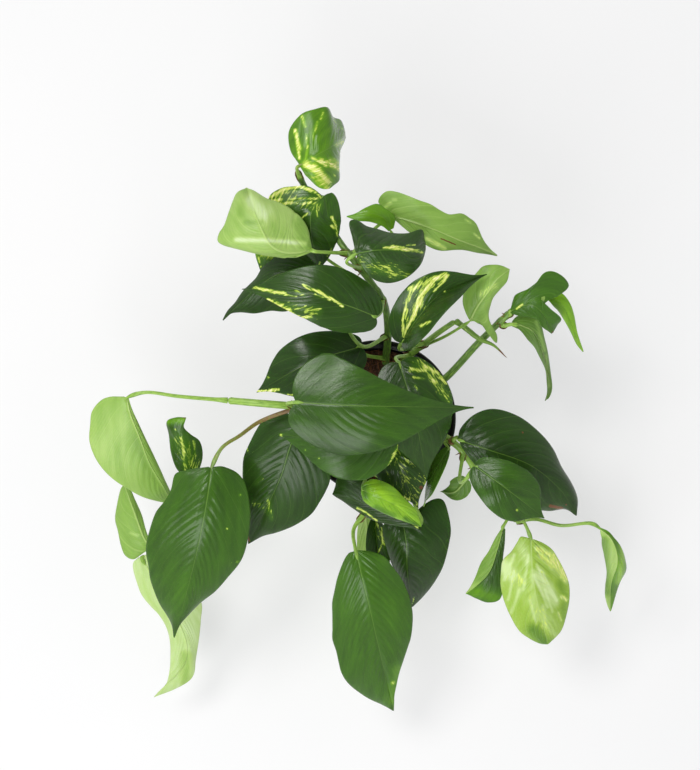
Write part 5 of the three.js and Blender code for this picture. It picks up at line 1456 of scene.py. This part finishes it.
def build_pot():
    """The pot's wall and floor turned round its axis, with rounded edges and drain holes."""
    profile = []
    corners = [(0, 0), *POT_PROFILE, (pot_radius(POT_FLOOR) - POT_WALL, POT_FLOOR), (0, POT_FLOOR)]
    for before, corner, after in zip(corners, corners[1:], corners[2:]):
        corner = np.array(corner, float)
        back, on = np.array(before) - corner, np.array(after) - corner
        cut = min(POT_ROUNDING, 0.3 * np.linalg.norm(back), 0.3 * np.linalg.norm(on))
        a, b = corner + unit(back) * cut, corner + unit(on) * cut
        profile += [(1 - s) ** 2 * a + 2 * s * (1 - s) * corner + s * s * b
                    for s in (0, 0.35, 0.65, 1)]
    points = lathed(np.array(profile), around(POT_SIDES))
    ring, turned, faces = wrapped(len(profile), POT_SIDES)
    first, last = len(points), len(points) + 1
    points = np.vstack([points, [0, 0, 0], [0, 0, POT_FLOOR]])
    faces += [[first, b, a] for a, b in zip(ring[0], turned[0])]
    faces += [[last, a, b] for a, b in zip(ring[-1], turned[-1])]
    piece = Shape("nursery_pot").add(points, faces, POT_PLASTIC).build("pot", "pot")

    cutter = Shape("drain_cutter")
    for turn in around(DRAIN_HOLES):
        middle = DRAIN_RING_RADIUS * np.array([math.cos(turn), math.sin(turn)])
        ends = np.array([[*middle, -3], [*middle, 3 + POT_FLOOR]])
        tube, caps = upright_tube(ends, np.full((2, 24), float(DRAIN_HOLE_RADIUS)))
        cutter.add(tube, caps, POT_PLASTIC)
    tool = new_object(cutter.name,
                      new_mesh(cutter.name, np.concatenate(cutter.points), cutter.faces))
    cut = piece.modifiers.new("drain_holes", "BOOLEAN")
    cut.operation, cut.solver, cut.object = "DIFFERENCE", "EXACT", tool
    bake(piece)
    bpy.data.objects.remove(tool)
    for polygon in piece.data.polygons:
        polygon.use_smooth = abs(polygon.normal.z) < 0.98


def soil_height(x, y):
    """The soil's gentle rises, as in the frame."""
    coarse = np.sin(0.21 * x + 1.3) * np.cos(0.19 * y - 0.6)
    fine = np.sin(0.47 * x - 0.8 * np.cos(0.3 * y))
    return SOIL_TOP + SOIL_BUMP * (coarse + 0.5 * fine)


def build_soil():
    """The filled inside of the pot, with a crumbly top."""
    angle = around(SOIL_SIDES)
    bottom = POT_FLOOR + SOIL_GAP
    foot, edge = (pot_radius(height) - POT_WALL - SOIL_GAP for height in (bottom, SOIL_EDGE))
    radius = edge * np.linspace(1, 0.01, SOIL_RINGS)[:, None] * np.ones(SOIL_SIDES)
    x, y = radius * np.cos(angle), radius * np.sin(angle)
    crumbs = 0.55 * uneven(1, x * 0.9, y * 0.9) + 0.4 * uneven(2, x * 2.1, y * 2.1)
    z = soil_height(x, y) + crumbs
    z[0] -= 0.8
    wall = np.array([[foot, bottom], [edge, SOIL_EDGE]])
    points = np.concatenate([lathed(wall, angle), triples(x, y, z)])
    faces = capped(len(wall) + SOIL_RINGS, SOIL_SIDES)
    Shape("coir_soil").add(points, faces, SOIL).build("soil", "soil")


def scatter(name, shape, material, density, seed, sizes, tilt):
    """Strews copies of a small shape over the soil's top with Geometry Nodes, then bakes them."""
    sides, reach = STREWN_SIDES, STREWN_REACH
    rim = [(reach * math.cos(2 * math.pi * i / sides), reach * math.sin(2 * math.pi * i / sides))
           for i in range(sides)]
    shares = (0.25, 0.5, 0.75, 1)
    xy = np.array([(0, 0)] + [(x * s, y * s) for s in shares for x, y in rim])
    z = soil_height(xy[:, 0], xy[:, 1]) + 0.4
    faces = [[0, 1 + i, 1 + (i + 1) % sides] for i in range(sides)]
    for r in range(len(shares) - 1):
        a = 1 + r * sides
        faces += [[a + i, a + sides + i, a + sides + (i + 1) % sides, a + (i + 1) % sides]
                  for i in range(sides)]
    piece = new_object(name, new_mesh("ground", np.column_stack([xy, z]), faces))
    pattern = new_object("pattern", shape)

    tree = bpy.data.node_groups.new("strew_" + name, "GeometryNodeTree")
    add = partial(add_node, tree)
    wanted = [("Geometry", "NodeSocketGeometry", None), ("Shape", "NodeSocketObject", pattern),
              ("Density", "NodeSocketFloat", density), ("Seed", "NodeSocketInt", seed),
              ("Smallest", "NodeSocketFloat", sizes[0]), ("Largest", "NodeSocketFloat", sizes[1]),
              ("Tilt", "NodeSocketFloat", tilt)]
    for label, kind, _ in wanted:
        tree.interface.new_socket(label, in_out="INPUT", socket_type=kind)
    tree.interface.new_socket("Geometry", in_out="OUTPUT", socket_type="NodeSocketGeometry")
    given = add("NodeGroupInput").outputs
    spread = add("GeometryNodeDistributePointsOnFaces", {"Mesh": given["Geometry"],
                 "Density": given["Density"], "Seed": given["Seed"]})
    info = add("GeometryNodeObjectInfo", {"Object": given["Shape"]})
    back = add("ShaderNodeMath", {0: given["Tilt"], 1: -1.0}, operation="MULTIPLY")
    low = add("ShaderNodeCombineXYZ", {"X": back, "Y": back, "Z": 0.0})
    high = add("ShaderNodeCombineXYZ", {"X": given["Tilt"], "Y": given["Tilt"], "Z": 6.283})
    turn = add("FunctionNodeRandomValue", {0: low, 1: high, "Seed": given["Seed"]},
               data_type="FLOAT_VECTOR")
    size = add("FunctionNodeRandomValue", {2: given["Smallest"], 3: given["Largest"],
               "Seed": given["Seed"]}, data_type="FLOAT")
    copies = add("GeometryNodeInstanceOnPoints", {"Points": spread,
                 "Instance": info.outputs["Geometry"], "Rotation": turn, "Scale": size.outputs[1]})
    real = add("GeometryNodeRealizeInstances", {"Geometry": copies})
    coated = add("GeometryNodeSetMaterial", {"Geometry": real, "Material": material})
    add("NodeGroupOutput", {"Geometry": coated})

    strew = piece.modifiers.new("strew", "NODES")
    strew.node_group = tree
    for item in tree.interface.items_tree:
        for label, _, value in wanted[1:]:
            if item.in_out == "INPUT" and item.name == label:
                strew[item.identifier] = value
    piece.update_tag()
    bake(piece)
    bpy.data.objects.remove(pattern)
    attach(piece, "root")


def crumb_shape():
    """A small lump of a few faces."""
    levels, widths = np.array([-0.9, -0.2, 0.6]), np.array([0.45, 1.0, 0.7])
    lumps = 1 + 0.2 * np.sin(3 * around(6) + levels[:, None] * 5)
    centres = np.column_stack([0 * levels, 0 * levels, levels])
    return new_mesh("crumb", *upright_tube(centres, widths[:, None] * lumps))


def fibre_shape(bow):
    """A short bent thread."""
    line = Line([(-5, 0, 0), (-2, bow, 0.6), (2, bow * 0.4, 0.9), (5, -bow * 0.6, 0)])
    s = np.linspace(0, 1, 7)
    size = (0.16 + 0.08 * np.sin(math.pi * s))[:, None] * np.ones(3)
    return new_mesh("fibre", *tube_along(line, s, carried(line.heading(s), (0, 0, 1)), size))


# ---- The plant ----------------------------------------------------------------------------

build_pot()
build_soil()
scatter("coir_crumbs", crumb_shape(), SOIL,
        density=190000.0, seed=3, sizes=(0.5, 1.3), tilt=1.2)
scatter("coir_threads", fibre_shape(bow=1.6), FIBRE,
        density=52000.0, seed=5, sizes=(0.5, 1.1), tilt=0.35)
scatter("coir_long_threads", fibre_shape(bow=3.0), FIBRE,
        density=26000.0, seed=9, sizes=(0.9, 1.7), tilt=0.25)
for number, (name, vine) in enumerate(VINES.items()):
    build_vine(name, vine, number)
for number, (name, leaf) in enumerate(LEAVES.items()):
    build_leaf(name, leaf, number + 1)
build_rolled_leaf()


# ---- Floor, light and camera --------------------------------------------------------------
# Places here are in metres.

MIDDLE_OF_PLANT = (0, 0, 0.1)
FLOOR_REACH = 4000                # millimetres


def build_floor():
    """A white board that glows a little, as a lit backdrop does, so that shadows stay faint."""
    material, add = surface("lit_white_board")
    place = add("ShaderNodeTexCoord").outputs["Object"]
    cloud = add("ShaderNodeTexNoise", {"Vector": place, "Scale": 3.0, "Detail": 3.0})
    colour = add("ShaderNodeValToRGB", {"Fac": cloud}, stops=[(0.3, 0xA6A6A6), (0.7, 0xAAA9A9)])
    shader = add("ShaderNodeBsdfPrincipled", {"Base Color": colour, "Roughness": 0.8, "IOR": 1.45,
                 "Specular IOR Level": 0.1, "Emission Color": (1, 1, 1, 1),
                 "Emission Strength": 0.5})
    add("ShaderNodeOutputMaterial", {"Surface": shader})
    corners = [(x * FLOOR_REACH, y * FLOOR_REACH, 0)
               for x, y in ((-1, -1), (1, -1), (1, 1), (-1, 1))]
    mesh = new_mesh("floor", corners, [(0, 1, 2, 3)])
    mesh.materials.append(material)
    new_object("floor", mesh)


def build_light(name, place, size, power, colour):
    """A square softbox at a place, in metres, that faces the middle of the plant."""
    lamp = bpy.data.lights.new(name, "AREA")
    lamp.shape, lamp.size, lamp.energy = "SQUARE", size, power
    lamp.color = colour
    light = new_object(name, lamp)
    light.location = place
    aim = Vector(MIDDLE_OF_PLANT) - Vector(place)
    light.rotation_euler = aim.to_track_quat("-Z", "Y").to_euler()


build_floor()
build_light("softbox", place=(-0.85, 0.7, 1.9), size=0.7, power=21.0, colour=(1.0, 0.99, 0.97))
build_light("front_softbox", place=(-0.5, -1.0, 1.5), size=1.0, power=17.0,
            colour=(0.99, 1.0, 1.0))

world = bpy.data.worlds.new("studio")
add = emptied(world)
direction = add("ShaderNodeTexCoord").outputs["Generated"]
height = add("ShaderNodeSeparateXYZ", {0: direction}).outputs["Z"]
sky = add("ShaderNodeValToRGB", {"Fac": height},
          stops=[(0.0, 0xF4F5F6), (0.6, 0xDADCDF), (0.95, 0x85868A)])
glow = add("ShaderNodeBackground", {"Color": sky, "Strength": 0.85})
add("ShaderNodeOutputWorld", {"Surface": glow})
bpy.context.scene.world = world
bpy.context.scene.view_settings.view_transform = "Standard"

lens = bpy.data.cameras.new("camera")
lens.sensor_width = 36
lens.lens = 84.52                 # so that a pixel of the picture is one of the photo
camera = new_object("camera", lens)
camera.location = (-0.0216, 0.0254, 1.5)   # looks straight down
bpy.context.scene.camera = camera
